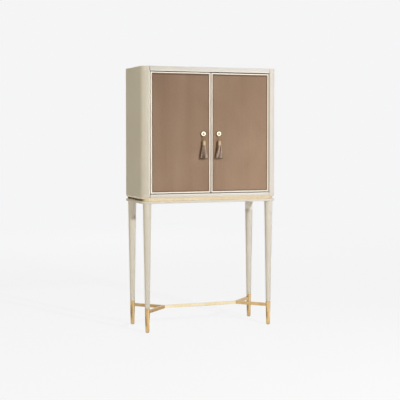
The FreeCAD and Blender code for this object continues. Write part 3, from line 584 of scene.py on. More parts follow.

# %% [markdown]
# Close under the plate the rear legs lie in its cast shadow, which painted light paler there lifts. The
# border follows the shadow's edge: it climbs a little from the left leg to the right one, and on the left
# leg only its inner side is paler.

# %% Painted light in the shadow on the rear legs
BORDER_CLIMB, BORDER_HEIGHT = 0.034, 0.673
REAR_START, REAR_FULL = 0.05, 0.06
leg_low, leg_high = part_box("leg_back_left")
LEFT_AXIS = (leg_low.x + leg_high.x) / 2
bench, shader = reopen(leg_cream)
place = bench.split(bench.where())
border = bench.sum("MULTIPLY_ADD", place["X"], BORDER_CLIMB, BORDER_HEIGHT)
shadow_lift = bench.times(bench.remap(bench.less(place["Z"], border), -6 * MM, 12 * MM),
                        bench.remap(place["Y"], REAR_START, REAR_FULL),
                        bench.remap(place["X"], LEFT_AXIS - 8 * MM, LEFT_AXIS + 7 * MM))
# Painted light that lifts the plate's shadow on the rear legs.
tone_over(bench, shader, shadow_lift, linear(255, 250, 238))
print("left rear leg stands at", round(LEFT_AXIS, 4))

# %% [markdown]
# The cove round a knob's post is painted darker than the flat rose as shade, and the rose's rim as a
# darker reflection. Both are rings, so the mask measures the distance from the knob's axis.

# %% Painted shade in the cove and on the rim of the knobs
knob_low, knob_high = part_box("pull_knob_right")
bench, shader = reopen(brass_knob)
mirrored = bench.vector("ABSOLUTE", bench.where())
off_axis = bench.vector("SUBTRACT", mirrored, (knob_low + knob_high) / 2)
from_axis = bench.vector("LENGTH", bench.vector("MULTIPLY", off_axis, (1.0, 0.0, 1.0)))
cove_shade = bench.remap(from_axis, 5.2 * MM, 4.4 * MM, 0.0, 0.8)
rim_shade = bench.remap(from_axis, 12.5 * MM, 13.5 * MM, 0.0, 0.85)
# Painted shade in the cove, and a painted darker reflection on the rim.
tone_over(bench, shader, bench.most(cove_shade, rim_shade), linear(124, 98, 58))
print("rose:", round((knob_high.x - knob_low.x) * 1000, 1), "mm across")

# %% [markdown]
# ## Glass and mirror
# The next four finishes each have one use here, so their details are built straight into the material.
# A mirror is silver behind glass, which has aged in faint spots, and clear glass is a little green. Both
# show the trails of the cloth that wiped them.

# %% Finishes: mirror and glass
def smudges(bench, where, low, high):
    """Roughness that rises where a cloth left its trails."""
    wipe_and_edge_light = bench.add("ShaderNodeMapping", {"Vector": where, "Rotation": (0.0, 0.6, 0.0),
                                            "Scale": (1.0, 1.0, 0.2)}).outputs[0]
    return bench.remap(bench.noise(wipe_and_edge_light, 30.0, 4.0, 0.6), 0.45, 0.75, low, high)


mirror, bench, shader = new_finish("mirror_glass_finish", Metallic=1.0)
where = bench.where()
silvering = bench.blend(bench.remap(bench.noise(where, 90.0, 4.0), 0.6, 0.8, 0.0, 0.25),
                        linear(236, 238, 236), linear(205, 205, 198))
bench.feed(shader.inputs["Base Color"], silvering)
bench.feed(shader.inputs["Roughness"], smudges(bench, where, 0.015, 0.06))

glass, bench, shader = new_finish("clear_glass_finish", Transmission_Weight=1.0, IOR=1.52)
where = bench.where()
greenish = bench.blend(bench.noise(where, 8.0), linear(236, 246, 241), linear(228, 242, 236))
bench.feed(shader.inputs["Base Color"], greenish)
bench.feed(shader.inputs["Roughness"], smudges(bench, where, 0.01, 0.05))
print("finishes:", mirror.name, glass.name)

# %% [markdown]
# Felt is pressed wool, so its fuzz is drawn three times: in the colour, in the roughness and in the
# relief. Moulded plastic takes the fine sparks of texture from its steel mould.

# %% Finishes: felt and plastic
felt, bench, shader = new_finish("felt_finish", Sheen_Weight=0.4)
fuzz = bench.noise(bench.where(), 1800.0, 4.0, 0.7)
bench.feed(shader.inputs["Base Color"], bench.blend(fuzz, linear(150, 144, 134), linear(196, 190, 180)))
bench.feed(shader.inputs["Roughness"], bench.remap(fuzz, 0.3, 0.7, 0.85, 1.0))
emboss(bench, shader, fuzz, 0.4 * MM)

plastic, bench, shader = new_finish("moulded_plastic_finish")
where = bench.where()
sparks = bench.noise(where, 900.0, 2.0)
mottled = bench.blend(bench.noise(where, 40.0), linear(112, 88, 72), linear(126, 100, 82))
bench.feed(shader.inputs["Base Color"], mottled)
bench.feed(shader.inputs["Roughness"], bench.remap(sparks, 0.3, 0.7, 0.42, 0.55))
emboss(bench, shader, sparks, 0.08 * MM)
print("finishes:", len(bpy.data.materials))

# %% [markdown]
# ## Dress the CAD nodes
# Each CAD node carries the name of its material slot. Boards, shells, doors and rails have the right
# shape already, so they only get their finish. Grain follows the length of each board.

# %% Give every node its finish
SLOT_FINISH = {
    "cream_lacquer": cream, "frame_lacquer": frame_cream, "door_veneer": door_wood,
    "inside_veneer": shelf_wood, "back_board": board_paint, "plinth_wood": plinth_wood,
    "brass": brass_round, "steel": steel, "mirror_glass": mirror, "clear_glass": glass,
    "catch_plastic": plastic, "glide_felt": felt,
}
NODE_FINISH = {
    "top_rail": top_cream, "bottom_rail": foot_cream, "lower_partition": upright_wood,
    "brass_band": brass_band, "pull_link_left": brass_link, "pull_link_right": brass_link,
    "pivot_plates": brass_bar, "shelf_hinge_door_leaves": brass_bar, "shelf_hinge_board_leaves": brass_bar,
    "shelf_hinge_pins": brass_bar, "shelf_pins": brass_bar,
}
SLOT_OF = {name: node.material_slots[0].material.name for name, node in NODES.items()}
for name, node in NODES.items():
    finish = NODE_FINISH.get(name) or SLOT_FINISH.get(SLOT_OF[name])
    if finish:
        node.material_slots[0].material = finish
print("nodes dressed:", len(NODES))

# %% [markdown]
# ## Helpers for new pieces
# A new piece is a mesh in the frame's own metres, with its object at the origin. It names the body it
# moves with and the CAD node that it stands for.

# %% Put a piece on its body
SMOOTH_UNDER = math.radians(32)


def put(name, mesh, material, body, slot, *stands_for):
    """Make an object of a mesh, smooth its gentle edges, and hang it on its body."""
    mesh.materials.clear()
    mesh.materials.append(material)
    mesh.shade_smooth()
    mesh.set_sharp_from_angle(angle=SMOOTH_UNDER)
    piece = bpy.data.objects.new(name, mesh)
    scene.collection.objects.link(piece)
    flats = piece.modifiers.new("flat_faces_stay_flat", "WEIGHTED_NORMAL")
    flats.keep_sharp = True
    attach(piece, body)
    if stands_for:
        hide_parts(*stands_for)
    return piece


def to_mesh(name, shape):
    """Turn a bmesh into a mesh and let the bmesh go."""
    mesh = bpy.data.meshes.new(name)
    shape.to_mesh(mesh)
    shape.free()
    return mesh


print("edges are smooth under", round(math.degrees(SMOOTH_UNDER)), "degrees")

# %% [markdown]
# A CAD node comes as loose triangles. Merging their shared corners makes it one skin again, and from the
# skin one can read which solids a node holds, by walking from corner to corner along the edges.

# %% Read the CAD nodes
WELD = 0.02 * MM


def welded(node):
    """A CAD node's mesh as one skin."""
    shape = bmesh.new()
    shape.from_mesh(NODES[node].data)
    bmesh.ops.remove_doubles(shape, verts=shape.verts, dist=WELD)
    return shape


def solids(node):
    """The boxes of the separate solids in a CAD node, as pairs of corners, from left to right."""
    shape = welded(node)
    left = set(shape.verts)
    boxes = []
    while left:
        island = [left.pop()]
        for vert in island:
            for edge in vert.link_edges:
                other = edge.other_vert(vert)
                if other in left:
                    left.discard(other)
                    island.append(other)
        low = Vector([min(vert.co[axis] for vert in island) for axis in range(3)])
        high = Vector([max(vert.co[axis] for vert in island) for axis in range(3)])
        boxes.append((low, high))
    shape.free()
    return sorted(boxes, key=lambda pair: tuple(round(value, 4) for value in pair[0]))


print("back screws:", len(solids("back_screws")))

# %% [markdown]
# ## Softened bars and plates
# A sawn edge that has been broken with a file catches a thin line of light. The CAD bars have sharp
# edges, so each gets a welded copy with a small Bevel that stands for it. Catches, strikes and glides get
# one too. The painted back board's round edge leaves a fine groove against the case, and the mirror's
# edge is ground to one flat bevel.

# %% Bars and plates with broken edges
FLAT_WITHIN = math.radians(0.4)


def break_edges(piece, width, segments=2):
    """Round a piece's sharp edges with a Bevel that works before its flat faces are levelled."""
    bevel = piece.modifiers.new("broken_edges", "BEVEL")
    bevel.width = width
    bevel.segments = segments
    bevel.limit_method = "ANGLE"
    bevel.angle_limit = SMOOTH_UNDER
    piece.modifiers.move(1, 0)


def soften(node, width, material, segments=2):
    """Stand a copy with rounded edges in for a CAD node, its flat faces whole instead of in triangles."""
    shape = welded(node)
    bmesh.ops.dissolve_limit(shape, angle_limit=FLAT_WITHIN, verts=shape.verts, edges=shape.edges)
    piece = put("soft_" + node, to_mesh("soft_" + node, shape), material, BODY_OF[node], SLOT_OF[node],
                node)
    break_edges(piece, width, segments)


soften("stretcher_bar", 0.9 * MM, brass_rail, 3)
for corner in CORNERS:
    soften("stretcher_arm_" + corner, 0.9 * MM, brass_arm, 3)
soften("door_catches", 1.2 * MM, plastic, 3)
for side in SIDES:
    soften("catch_strike_" + side, 0.4 * MM, steel)
soften("foot_glides", 0.8 * MM, felt, 3)
soften("shelf_catch", 0.5 * MM, steel)
soften("back_panel", 1.6 * MM, board_paint)
soften("mirror_panel", 1.8 * MM, mirror, 1)

# %% [markdown]
# ## A trim over the band
# The brass band lies back under the case. A thin satin profile of the same colour covers its upper third
# and comes out almost to the case, so from the side one sees a bright line over a dark one. The left
# side is painted a shade brighter, as the light from the window that falls flat on it.

# %% Finish: satin brass
satin_brass = metal("satin_brass_finish", linear(226, 212, 184), linear(216, 198, 166), LINES_ACROSS, 0.34,
                    metallic=0.1)
LEFT_FACE_FROM, LEFT_FACE_FULL = -0.405, -0.42
bench, shader = reopen(satin_brass)
left_face_light = bench.remap(bench.split(bench.where())["X"], LEFT_FACE_FROM, LEFT_FACE_FULL)
# Painted light on the left face of the trim.
tone_over(bench, shader, left_face_light, linear(255, 243, 220))
print("finish:", satin_brass.name)

# %% [markdown]
# The profile is a section of four corners that is swept round the case. Each corner of the section
# follows the case's plan at its own inset, and neighbouring rings are joined by faces.

# %% Brass trim
PLAN_CORNERS = (43.5 * MM, 40.0 * MM)
TRIM_INSET, TRIM_HEIGHT, TRIM_OVERLAP = 1.5 * MM, 7 * MM, 0.3 * MM
plate_low, plate_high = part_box("base_plate")
band_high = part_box("brass_band")[1]


def round_plan(inset, front_radius, rear_radius, steps=14):
    """The plan of the case as a ring of points, set in by the same amount all round."""
    corners = ((plate_high.x, plate_high.y, -1, -1, rear_radius, 0),
               (plate_low.x, plate_high.y, 1, -1, rear_radius, 90),
               (plate_low.x, plate_low.y, 1, 1, front_radius, 180),
               (plate_high.x, plate_low.y, -1, 1, front_radius, 270))
    ring = []
    for x, y, inward_x, inward_y, radius, start in corners:
        centre = Vector((x + inward_x * radius, y + inward_y * radius))
        for step in range(steps + 1):
            turn = math.radians(start + 90 * step / steps)
            ring.append(centre + (radius - inset) * Vector((math.cos(turn), math.sin(turn))))
    return ring


inner = plate_high.x - band_high.x + TRIM_OVERLAP
trim_foot = band_high.z - TRIM_HEIGHT
section = ((TRIM_INSET, band_high.z), (TRIM_INSET, trim_foot), (inner, trim_foot), (inner, band_high.z))
trim = bmesh.new()
rings = [[trim.verts.new((point.x, point.y, height)) for point in round_plan(inset, *PLAN_CORNERS)]
         for inset, height in section]
for ring, following in zip(rings, rings[1:] + rings[:1]):
    for quad in zip(ring, ring[1:] + ring[:1], following[1:] + following[:1], following):
        trim.faces.new(quad)
bmesh.ops.recalc_face_normals(trim, faces=trim.faces)
piece = put("brass_trim", to_mesh("brass_trim", trim), satin_brass, "case", "brass")
break_edges(piece, 0.6 * MM)
print("trim faces:", len(piece.data.polygons))

# %% [markdown]
# ## Legs and brass shoes by a rule
# A leg and its shoe are both turned on a lathe: a taper between two radii, with the rims just broken.
# The rule is short, so Geometry Nodes write it once. A grid is rolled into a tube, row by row, and its
# rows crowd together at both ends, where the rim needs them. First comes the height and the radius of
# each row.

# %% Geometry tree: turned taper, height and radius of a row
turned_taper, bench, given, gives = new_group(
    "GeometryNodeTree", "turned_taper",
    {"Centre": (VECTOR, None), "Low End": (FLOAT, 0.0), "High End": (FLOAT, 1.0),
     "Low Radius": (FLOAT, 0.01), "High Radius": (FLOAT, 0.02), "Rim": (FLOAT, 0.0008),
     "Rows": (INTEGER, 60), "Sides": (INTEGER, 64), "Material": (MATERIAL, None)},
    {"Geometry": GEOMETRY})
grid = bench.add("GeometryNodeMeshGrid", {"Size X": 1.0, "Size Y": 1.0, "Vertices X": given["Rows"],
                                          "Vertices Y": given["Sides"]}).outputs["Mesh"]
on_grid = bench.split(bench.add("GeometryNodeInputPosition").outputs[0])
row = bench.plus(on_grid["X"], 0.5)
turn = bench.times(bench.plus(on_grid["Y"], 0.5), math.tau)
crowded = bench.less(0.5, bench.times(bench.sum("COSINE", bench.times(row, math.pi)), 0.5))
height = bench.plus(given["Low End"], bench.times(crowded, bench.less(given["High End"], given["Low End"])))
taper = bench.plus(given["Low Radius"],
                   bench.times(crowded, bench.less(given["High Radius"], given["Low Radius"])))
print("geometry tree:", turned_taper.name)

# %% [markdown]
# Near either end the radius follows a quarter circle, which breaks the rim. The very first and last row
# shrink to a point, and merging them there closes the ends. Every tree ends in the same two nodes,
# because the export keeps only real geometry with a material of its own.

# %% Geometry tree: turned taper, rims and ends
MERGE = 0.000001


def close_tree(geometry):
    """End the tree on the bench: make copies real, give them the material, and hand them out."""
    whole = bench.add("GeometryNodeRealizeInstances", {"Geometry": geometry}).outputs[0]
    dressed = bench.add("GeometryNodeSetMaterial", {"Geometry": whole, "Material": given["Material"]})
    bench.feed(gives["Geometry"], dressed.outputs[0])


from_end = bench.sum("MINIMUM", bench.less(height, given["Low End"]), bench.less(given["High End"], height))
into_rim = bench.most(bench.less(given["Rim"], from_end), 0.0)
rim_reach = bench.sum("SQRT", bench.less(bench.sum("POWER", given["Rim"], 2.0),
                                         bench.sum("POWER", into_rim, 2.0)))
radius = bench.less(taper, bench.less(given["Rim"], rim_reach))
not_an_end = bench.sum("COMPARE", row, 0.5, 0.4999)
radius = bench.times(radius, not_an_end)
around = bench.join(bench.times(radius, bench.sum("COSINE", turn)),
                    bench.times(radius, bench.sum("SINE", turn)), height)
rolled = bench.add("GeometryNodeSetPosition",
                   {"Geometry": grid, "Position": bench.vector("ADD", around, given["Centre"])}).outputs[0]
close_tree(bench.add("GeometryNodeMergeByDistance", {"Geometry": rolled, "Distance": MERGE}).outputs[0])
print("nodes in the tree:", len(turned_taper.nodes))

# %% [markdown]
# Growing a piece means hanging a tree on a start mesh, setting the tree's inputs by their sockets'
# identifiers, and keeping the evaluated result as a plain mesh. A tube that was rolled from a grid may
# come out with its faces inwards, so they are turned afterwards.

# %% Grow a piece from a tree
def grow(name, tree, inputs, material, body, slot, *stands_for, points=()):
    """Run a geometry tree on a few start points and put what it makes on a body."""
    start = bpy.data.meshes.new(name + "_start")
    start.from_pydata([tuple(point) for point in points], [], [])
    sower = bpy.data.objects.new(name + "_sower", start)
    scene.collection.objects.link(sower)
    modifier = sower.modifiers.new("growing", "NODES")
    modifier.node_group = tree
    identifiers = {item.name: item.identifier for item in tree.interface.items_tree
                   if item.in_out == "INPUT"}
    for label, value in {**inputs, "Material": material}.items():
        modifier[identifiers[label]] = value
    depsgraph = bpy.context.evaluated_depsgraph_get()
    mesh = bpy.data.meshes.new_from_object(sower.evaluated_get(depsgraph), preserve_all_data_layers=True,
                                           depsgraph=depsgraph)
    sower.modifiers.remove(modifier)
    bpy.data.objects.remove(sower)
    mesh.name = name
    return put(name, mesh, material, body, slot, *stands_for)


def outward(piece):
    """Turn the faces of a closed piece so that they all point out."""
    shape = bmesh.new()
    shape.from_mesh(piece.data)
    bmesh.ops.recalc_face_normals(shape, faces=shape.faces)
    shape.to_mesh(piece.data)
    shape.free()


print("trees:", [tree.name for tree in bpy.data.node_groups if tree.bl_idname == "GeometryNodeTree"])

# %% [markdown]
# Each leg ends where its shoe begins. The heights and the upper radii come from the CAD boxes, and the
# lower radii are the turner's own.

# %% Legs and shoes
LEG_LOW_RADIUS, SHOE_LOW_RADIUS = 14.5 * MM, 12.0 * MM
RIM = 0.7 * MM
LEG_ROWS = 90

for corner in CORNERS:
    leg_low, leg_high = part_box("leg_" + corner)
    shoe_low, shoe_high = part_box("sabot_" + corner)
    centre = ((leg_low.x + leg_high.x) / 2, (leg_low.y + leg_high.y) / 2, 0.0)
    leg = {"Centre": centre, "Low End": shoe_high.z, "High End": leg_high.z, "Low Radius": LEG_LOW_RADIUS,
           "High Radius": (leg_high.x - leg_low.x) / 2, "Rim": RIM, "Rows": LEG_ROWS}
    shoe = {"Centre": centre, "Low End": shoe_low.z, "High End": shoe_high.z,
            "Low Radius": SHOE_LOW_RADIUS, "High Radius": (shoe_high.x - shoe_low.x) / 2, "Rim": RIM}
    outward(grow("turned_leg_" + corner, turned_taper, leg, leg_cream, "case", "cream_lacquer",
                 "leg_" + corner))
    outward(grow("brass_shoe_" + corner, turned_taper, shoe, brass_shoe, "case", "brass",
                 "sabot_" + corner))

# %% [markdown]
# ## Pulls turned on the lathe
# Each door is pulled by a tassel on a wire link. The link hangs on a knob with a flat round rose behind
# it, and the yarn is tied into a beaded brass cap with an eye. Rose, knob and cap are round about one
# axis, so half an outline is drawn and spun. Corners of the outline are rounded first, because a turned
# edge is never quite sharp.

# %% Lathe
def eased(outline, radius, steps=4):
    """Round the inner corners of an open outline."""
    points = [Vector(point) for point in outline]
    smooth = [points[0]]
    for before, corner, after in zip(points, points[1:], points[2:]):
        reach = min(radius, (before - corner).length / 2, (after - corner).length / 2)
        start = corner + (before - corner).normalized() * reach
        end = corner + (after - corner).normalized() * reach
        for step in range(steps + 1):
            share = step / steps
            smooth.append(start.lerp(corner, share).lerp(corner.lerp(end, share), share))
    return smooth + [points[-1]]


def spin_onto(shape, outline, base, axis, sides=64, closed=False):
    """Spin an outline of (radius, height) points in millimetres about an axis and add it to a shape."""
    part = bmesh.new()
    profile = [part.verts.new((radius * MM, 0.0, height * MM)) for radius, height in outline]
    for near, far in zip(profile, profile[1:] + profile[:1] if closed else profile[1:]):
        part.edges.new((near, far))
    bmesh.ops.spin(part, geom=part.verts[:] + part.edges[:], cent=(0, 0, 0), axis=(0, 0, 1),
                   angle=math.tau, steps=sides, use_merge=True)
    bmesh.ops.remove_doubles(part, verts=part.verts, dist=MERGE)
    bmesh.ops.recalc_face_normals(part, faces=part.faces)
    turn = Vector((0, 0, 1)).rotation_difference(Vector(axis)).to_matrix().to_4x4()
    part.transform(Matrix.Translation(base) @ turn)
    mesh = to_mesh("turned_part", part)
    shape.from_mesh(mesh)
    bpy.data.meshes.remove(mesh)


print("eased corner:", len(eased([(0, 0), (1, 0), (1, 1)], 0.2)), "points")

# %% [markdown]
# The knob's outline runs from a short tail in the door, round the flat rose with its rolled rim, into
# the cove, up the thin post and round the little end bead.

# %% Outline of a knob
BORE = 2.0
KNOB_REACH_IN = 9.0


def turn_knob(side):
    """Spin a rose with its knob, facing away from the door. It gives the knob's reach."""
    low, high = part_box("pull_knob_" + side)
    seat = ((low.x + high.x) / 2, high.y, (low.z + high.z) / 2)
    rose, reach = (high.x - low.x) / 2 / MM, (high.y - low.y) / MM
    outline = eased([
        (0, KNOB_REACH_IN), (BORE, KNOB_REACH_IN), (BORE, 0), (rose, 0), (rose, 7.8), (rose - 0.6, 9.3),
        (rose - 2.0, 9.9), (rose - 4.5, 10.0), (4.4, 10.0), (4.1, 9.2), (3.4, 8.4), (2.2, 8.2),
        (2.2, reach - 3.6), (2.8, reach - 3.4), (3.6, reach - 2.4), (3.6, reach - 1.2), (2.6, reach - 0.2),
        (0, reach)], 0.6)
    knob = bmesh.new()
    spin_onto(knob, outline, seat, (0, -1, 0), 80)
    put("turned_knob_" + side, to_mesh("turned_knob", knob), brass_knob, "door_" + side, "brass",
        "pull_knob_" + side)
    return reach


print("bore in the rose:", BORE, "mm")

# %% [markdown]
# The cap is a small tube with a bead at each end and a crown that carries the eye. The eye is a ring of
# wire, so it is spun as well, about an axis that lies across.

# %% Outline of a cap, and both pulls
WIRE, EYE_BEND = 1.2, 2.6
WIRE_SIDES = 14


def turn_cap(side):
    """Spin a tassel's cap and its eye. It gives the cap's height."""
    low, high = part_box("tassel_cap_" + side)
    foot = ((low.x + high.x) / 2, (low.y + high.y) / 2, low.z)
    girth, height = (high.x - low.x) / 2 / MM, (high.z - low.z) / MM
    outline = eased([
        (0, 0), (girth - 0.5, 0), (girth, 0.7), (girth, 1.9), (girth - 0.7, 2.6), (girth - 0.7, 3.6),
        (girth - 0.3, 4.4), (girth - 0.3, 19.6), (girth - 0.7, 20.4), (girth - 0.7, 21.2), (girth, 22.0),
        (girth, 23.2), (girth - 0.6, 24.2), (girth - 2.4, 25.6), (6.0, 26.6), (3.0, 27.0), (0, 27.0)], 0.5)
    cap = bmesh.new()
    spin_onto(cap, outline, foot, (0, 0, 1), 64)
    turns = [math.tau * step / WIRE_SIDES for step in range(WIRE_SIDES)]
    wire = [(EYE_BEND + WIRE * math.cos(turn), WIRE * math.sin(turn)) for turn in turns]
    spin_onto(cap, wire, (foot[0], foot[1], high.z - (EYE_BEND + WIRE) * MM), (1, 0, 0), 40, closed=True)
    put("turned_cap_" + side, to_mesh("turned_cap", cap), brass_cap, "tassel_" + side, "brass",
        "tassel_cap_" + side)
    return height


for side in SIDES:
    print(side, "knob reach:", round(turn_knob(side), 2), "cap height:", round(turn_cap(side), 2))

# %% [markdown]
# ## Yarn
# Rayon yarn shines a little and is spun from plies that wind round each other. The tree that makes the
# strands leaves four attributes on them. "round" and "along" say where a point lies round its strand and
# along it, so the winding follows every strand however it hangs, and the grooves between the plies are
# painted darker as shade. "tint" is each strand's own luck in the dye, and "crest" paints
# highlights on bands across the tassel and shade between them. The last few millimetres above the hem
# are painted darker, as shade at the cut ends.

# %% Finish: yarn
PLY_PITCH, PLIES = 3.2 * MM, 2
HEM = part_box("tassel_skirt_right")[0].z
yarn, bench, shader = new_finish("tassel_yarn_finish", Sheen_Weight=0.25, Sheen_Roughness=0.4)


def carried(name, output="Fac"):
    """An attribute that the strands carry."""
    return bench.add("ShaderNodeAttribute", attribute_name=name).outputs[output]


where = bench.where()
around = bench.split(carried("round", "Vector"))
angle = bench.sum("ARCTAN2", around["Y"], around["X"])
winding = bench.plus(bench.times(angle, float(PLIES)), bench.times(carried("along"), math.tau / PLY_PITCH))
ply = bench.remap(bench.sum("SINE", winding), -1.0, 1.0)
marbling = bench.remap(bench.noise(bench.squeeze(where, (1.0, 1.0, 0.55)), 120.0, 3.0, 0.65, 0.6), 0.4, 0.6)
# The third term paints highlights on bands across the tassel, and shade between them.
shade = bench.plus(bench.times(carried("tint"), 0.14), bench.times(marbling, 0.3),
                   bench.times(carried("crest"), 0.56))
strand = bench.blend(bench.remap(shade, 0.14, 0.86), linear(96, 68, 50), linear(236, 211, 188))
# The last millimetres above the hem are painted darker, as shade.
hem_shade = bench.remap(bench.split(where)["Z"], HEM + 4.5 * MM, HEM + 2 * MM, 0.0, 0.75)
strand = bench.blend(hem_shade, strand, linear(70, 48, 34))
# The grooves between the plies are painted darker, as shade.
strand = bench.blend(bench.times(bench.less(1.0, ply), 0.35), strand, linear(84, 58, 40))
hairs = bench.noise(where, 2600.0, 2.0)
strand = bench.blend(bench.remap(hairs, 0.45, 0.8, 0.0, 0.3), strand, linear(228, 206, 186))
bench.feed(shader.inputs["Base Color"], strand)
bench.feed(shader.inputs["Roughness"], bench.remap(ply, 0.0, 1.0, 0.72, 0.5))
emboss(bench, shader, bench.plus(ply, bench.times(hairs, 0.3)), 0.25 * MM)
print("finish:", yarn.name)

# %% [markdown]
# ## Tassel strands
# About two hundred strands leave the cap in a tight bundle and fall into a wider oval, flat against the
# door. The tree copies one straight line and sends each copy to its own place by the golden angle, which
# fills an oval evenly.

# %% Geometry tree: falling yarn, a place for every strand
falling_yarn, bench, given, gives = new_group(
    "GeometryNodeTree", "falling_yarn",
    {"Neck": (VECTOR, None), "Drop": (FLOAT, 0.077), "Into Cap": (FLOAT, 0.003),
     "Neck Width": (FLOAT, 0.0093), "Neck Depth": (FLOAT, 0.0088), "Hem Width": (FLOAT, 0.024),
     "Hem Depth": (FLOAT, 0.0125), "Strands": (INTEGER, 190), "Thickness": (FLOAT, 0.0009),
     "Lock Width": (FLOAT, 0.011), "Lock Shift": (FLOAT, 0.0), "Fold Light Place": (FLOAT, 0.0),
     "Fold Light Slant": (FLOAT, 0.0), "Fold Light Spacing": (FLOAT, 1.1), "Seed": (INTEGER, 5),
     "Material": (MATERIAL, None)},
    {"Geometry": GEOMETRY})
GOLDEN_ANGLE = math.pi * (3 - math.sqrt(5))
STRAND_POINTS = 9
line = bench.add("GeometryNodeCurvePrimitiveLine", {"End": (0.0, 0.0, -1.0)}).outputs[0]
line = bench.add("GeometryNodeResampleCurve", {"Curve": line, "Count": STRAND_POINTS}).outputs[0]
copies = bench.add("GeometryNodeDuplicateElements", {"Geometry": line, "Amount": given["Strands"]},
                   domain="SPLINE").outputs
number = copies["Duplicate Index"]
fall = bench.add("GeometryNodeSplineParameter").outputs["Factor"]
spread = bench.sum("SQRT", bench.sum("DIVIDE", bench.plus(number, 0.5), given["Strands"]))
turn = bench.times(number, GOLDEN_ANGLE)
across = bench.times(spread, bench.sum("COSINE", turn))
deep = bench.times(spread, bench.sum("SINE", turn))
width = bench.remap(bench.sum("POWER", fall, 1.06), 0.0, 1.0, given["Neck Width"], given["Hem Width"])
depth = bench.remap(bench.sum("POWER", fall, 0.96), 0.0, 1.0, given["Neck Depth"], given["Hem Depth"])
x = bench.times(across, bench.less(width, given["Thickness"]))
y = bench.times(deep, bench.less(depth, given["Thickness"]))
print("geometry tree:", falling_yarn.name)

# %% [markdown]
# Strands don't spread evenly: neighbours cling together in locks with dark gaps between them. So waves
# pull the copies sideways, the more the lower they are, and a slow sway of its own sets each strand off
# from the next. Their lengths differ a little, as scissors leave them.

# %% Geometry tree: falling yarn, locks and sway
LOCK_PULL = 0.13
SWAY, SWAY_SPEED, SWAY_STARTS = 0.0009, 5.0, 6.28
UNEVEN_ENDS = 0.0022


def drawn(low, high, offset):
    """A random number for each strand."""
    seed = bench.plus(given["Seed"], float(offset))
    return bench.add("FunctionNodeRandomValue", {"Min": low, "Max": high, "ID": number, "Seed": seed},
                     data_type="FLOAT").outputs["Value"]


off_middle = bench.sum("ABSOLUTE", across)
locks_across = bench.sum("DIVIDE", bench.times(across, given["Hem Width"]), given["Lock Width"])
wave = bench.times(locks_across, math.tau)
pull = bench.sum("SINE", bench.plus(wave, given["Lock Shift"]))
inside = bench.less(1.0, bench.sum("POWER", off_middle, 4.0))
pull = bench.times(pull, inside, bench.times(given["Lock Width"], LOCK_PULL))
x = bench.plus(x, bench.times(pull, bench.sum("POWER", fall, 0.7)))
swing = bench.sum("SINE", bench.plus(bench.times(fall, SWAY_SPEED), drawn(0.0, SWAY_STARTS, 1)))
x = bench.plus(x, bench.times(swing, bench.times(fall, bench.less(1.0, off_middle), SWAY)))
reach = bench.plus(given["Into Cap"], bench.less(given["Drop"], drawn(0.0, UNEVEN_ENDS, 2)))
z = bench.less(given["Into Cap"], bench.times(fall, reach))
hung = bench.vector("ADD", bench.join(x, y, z), given["Neck"])
strands = bench.add("GeometryNodeSetPosition", {"Geometry": copies[0], "Position": hung}).outputs[0]
print("longest to shortest strand:", UNEVEN_ENDS * 1000, "mm")

# %% [markdown]
# Last, the strands get the attributes that the yarn's finish reads, and their thickness. A ring of six
# points is drawn along each line, thinner in the cap, where the binding squeezes it. The bands of painted
# light have a place, a slant and a spacing, set for each tassel.

# %% Geometry tree: falling yarn, attributes and thickness
RING_POINTS = 6
NECK_SQUEEZE = 0.65


def store(geometry, name, value, data_type="FLOAT"):
    """Leave a value on every point of a line, for a material to read by its name."""
    return bench.add("GeometryNodeStoreNamedAttribute", {"Geometry": geometry, "Name": name, "Value": value},
                     data_type=data_type, domain="POINT").outputs[0]


strands = store(strands, "along", bench.times(fall, reach))
strands = store(strands, "tint", drawn(0.0, 1.0, 3))
# Bands of painted light across the tassel, stored for the yarn's finish.
off_crest = bench.less(across, given["Fold Light Place"], bench.times(fall, given["Fold Light Slant"]))
crest = bench.sum("COSINE", bench.times(bench.sum("DIVIDE", off_crest, given["Fold Light Spacing"]), math.tau))
strands = store(strands, "crest", bench.remap(crest, -1.0, 1.0))
ring = bench.add("GeometryNodeCurvePrimitiveCircle", {"Resolution": RING_POINTS, "Radius": 1.0}).outputs[0]
ring = store(ring, "round", bench.add("GeometryNodeInputPosition").outputs[0], "FLOAT_VECTOR")
swell = bench.times(given["Thickness"], bench.remap(fall, 0.0, 0.5, NECK_SQUEEZE, 1.0))
close_tree(bench.add("GeometryNodeCurveToMesh", {"Curve": strands, "Profile Curve": ring, "Scale": swell,
                                                 "Fill Caps": True}).outputs[0])
print("nodes in the tree:", len(falling_yarn.nodes))

# %% [markdown]
# Both tassels come from the one tree. Its sizes are read from the CAD skirts; locks and painted light differ.

# %% Both tassels
LOCKS_AND_LIGHT = {"left": {"Lock Shift": 2.0, "Fold Light Place": 0.36, "Fold Light Slant": 0.2, "Fold Light Spacing": 1.8},
         "right": {"Lock Shift": 0.0, "Fold Light Place": -0.1, "Fold Light Slant": -0.8, "Fold Light Spacing": 1.1}}
for side in SIDES:
    low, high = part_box("tassel_skirt_" + side)
    middle = (low + high) / 2
    sizes = {"Neck": (middle.x, middle.y, high.z), "Drop": high.z - low.z, "Hem Width": (high.x - low.x) / 2,
             "Hem Depth": (high.y - low.y) / 2, **LOCKS_AND_LIGHT[side]}
    outward(grow("yarn_strands_" + side, falling_yarn, sizes, yarn, "tassel_" + side, "tassel_yarn",
                 "tassel_skirt_" + side))

# %% [markdown]
# ## Screws
# Twelve screws hold the back on. They have a crowned head with a cross driven into it. One tree makes
# the screw: the head is a flattened ball, and a boolean cuts the cross out of it with two blades.

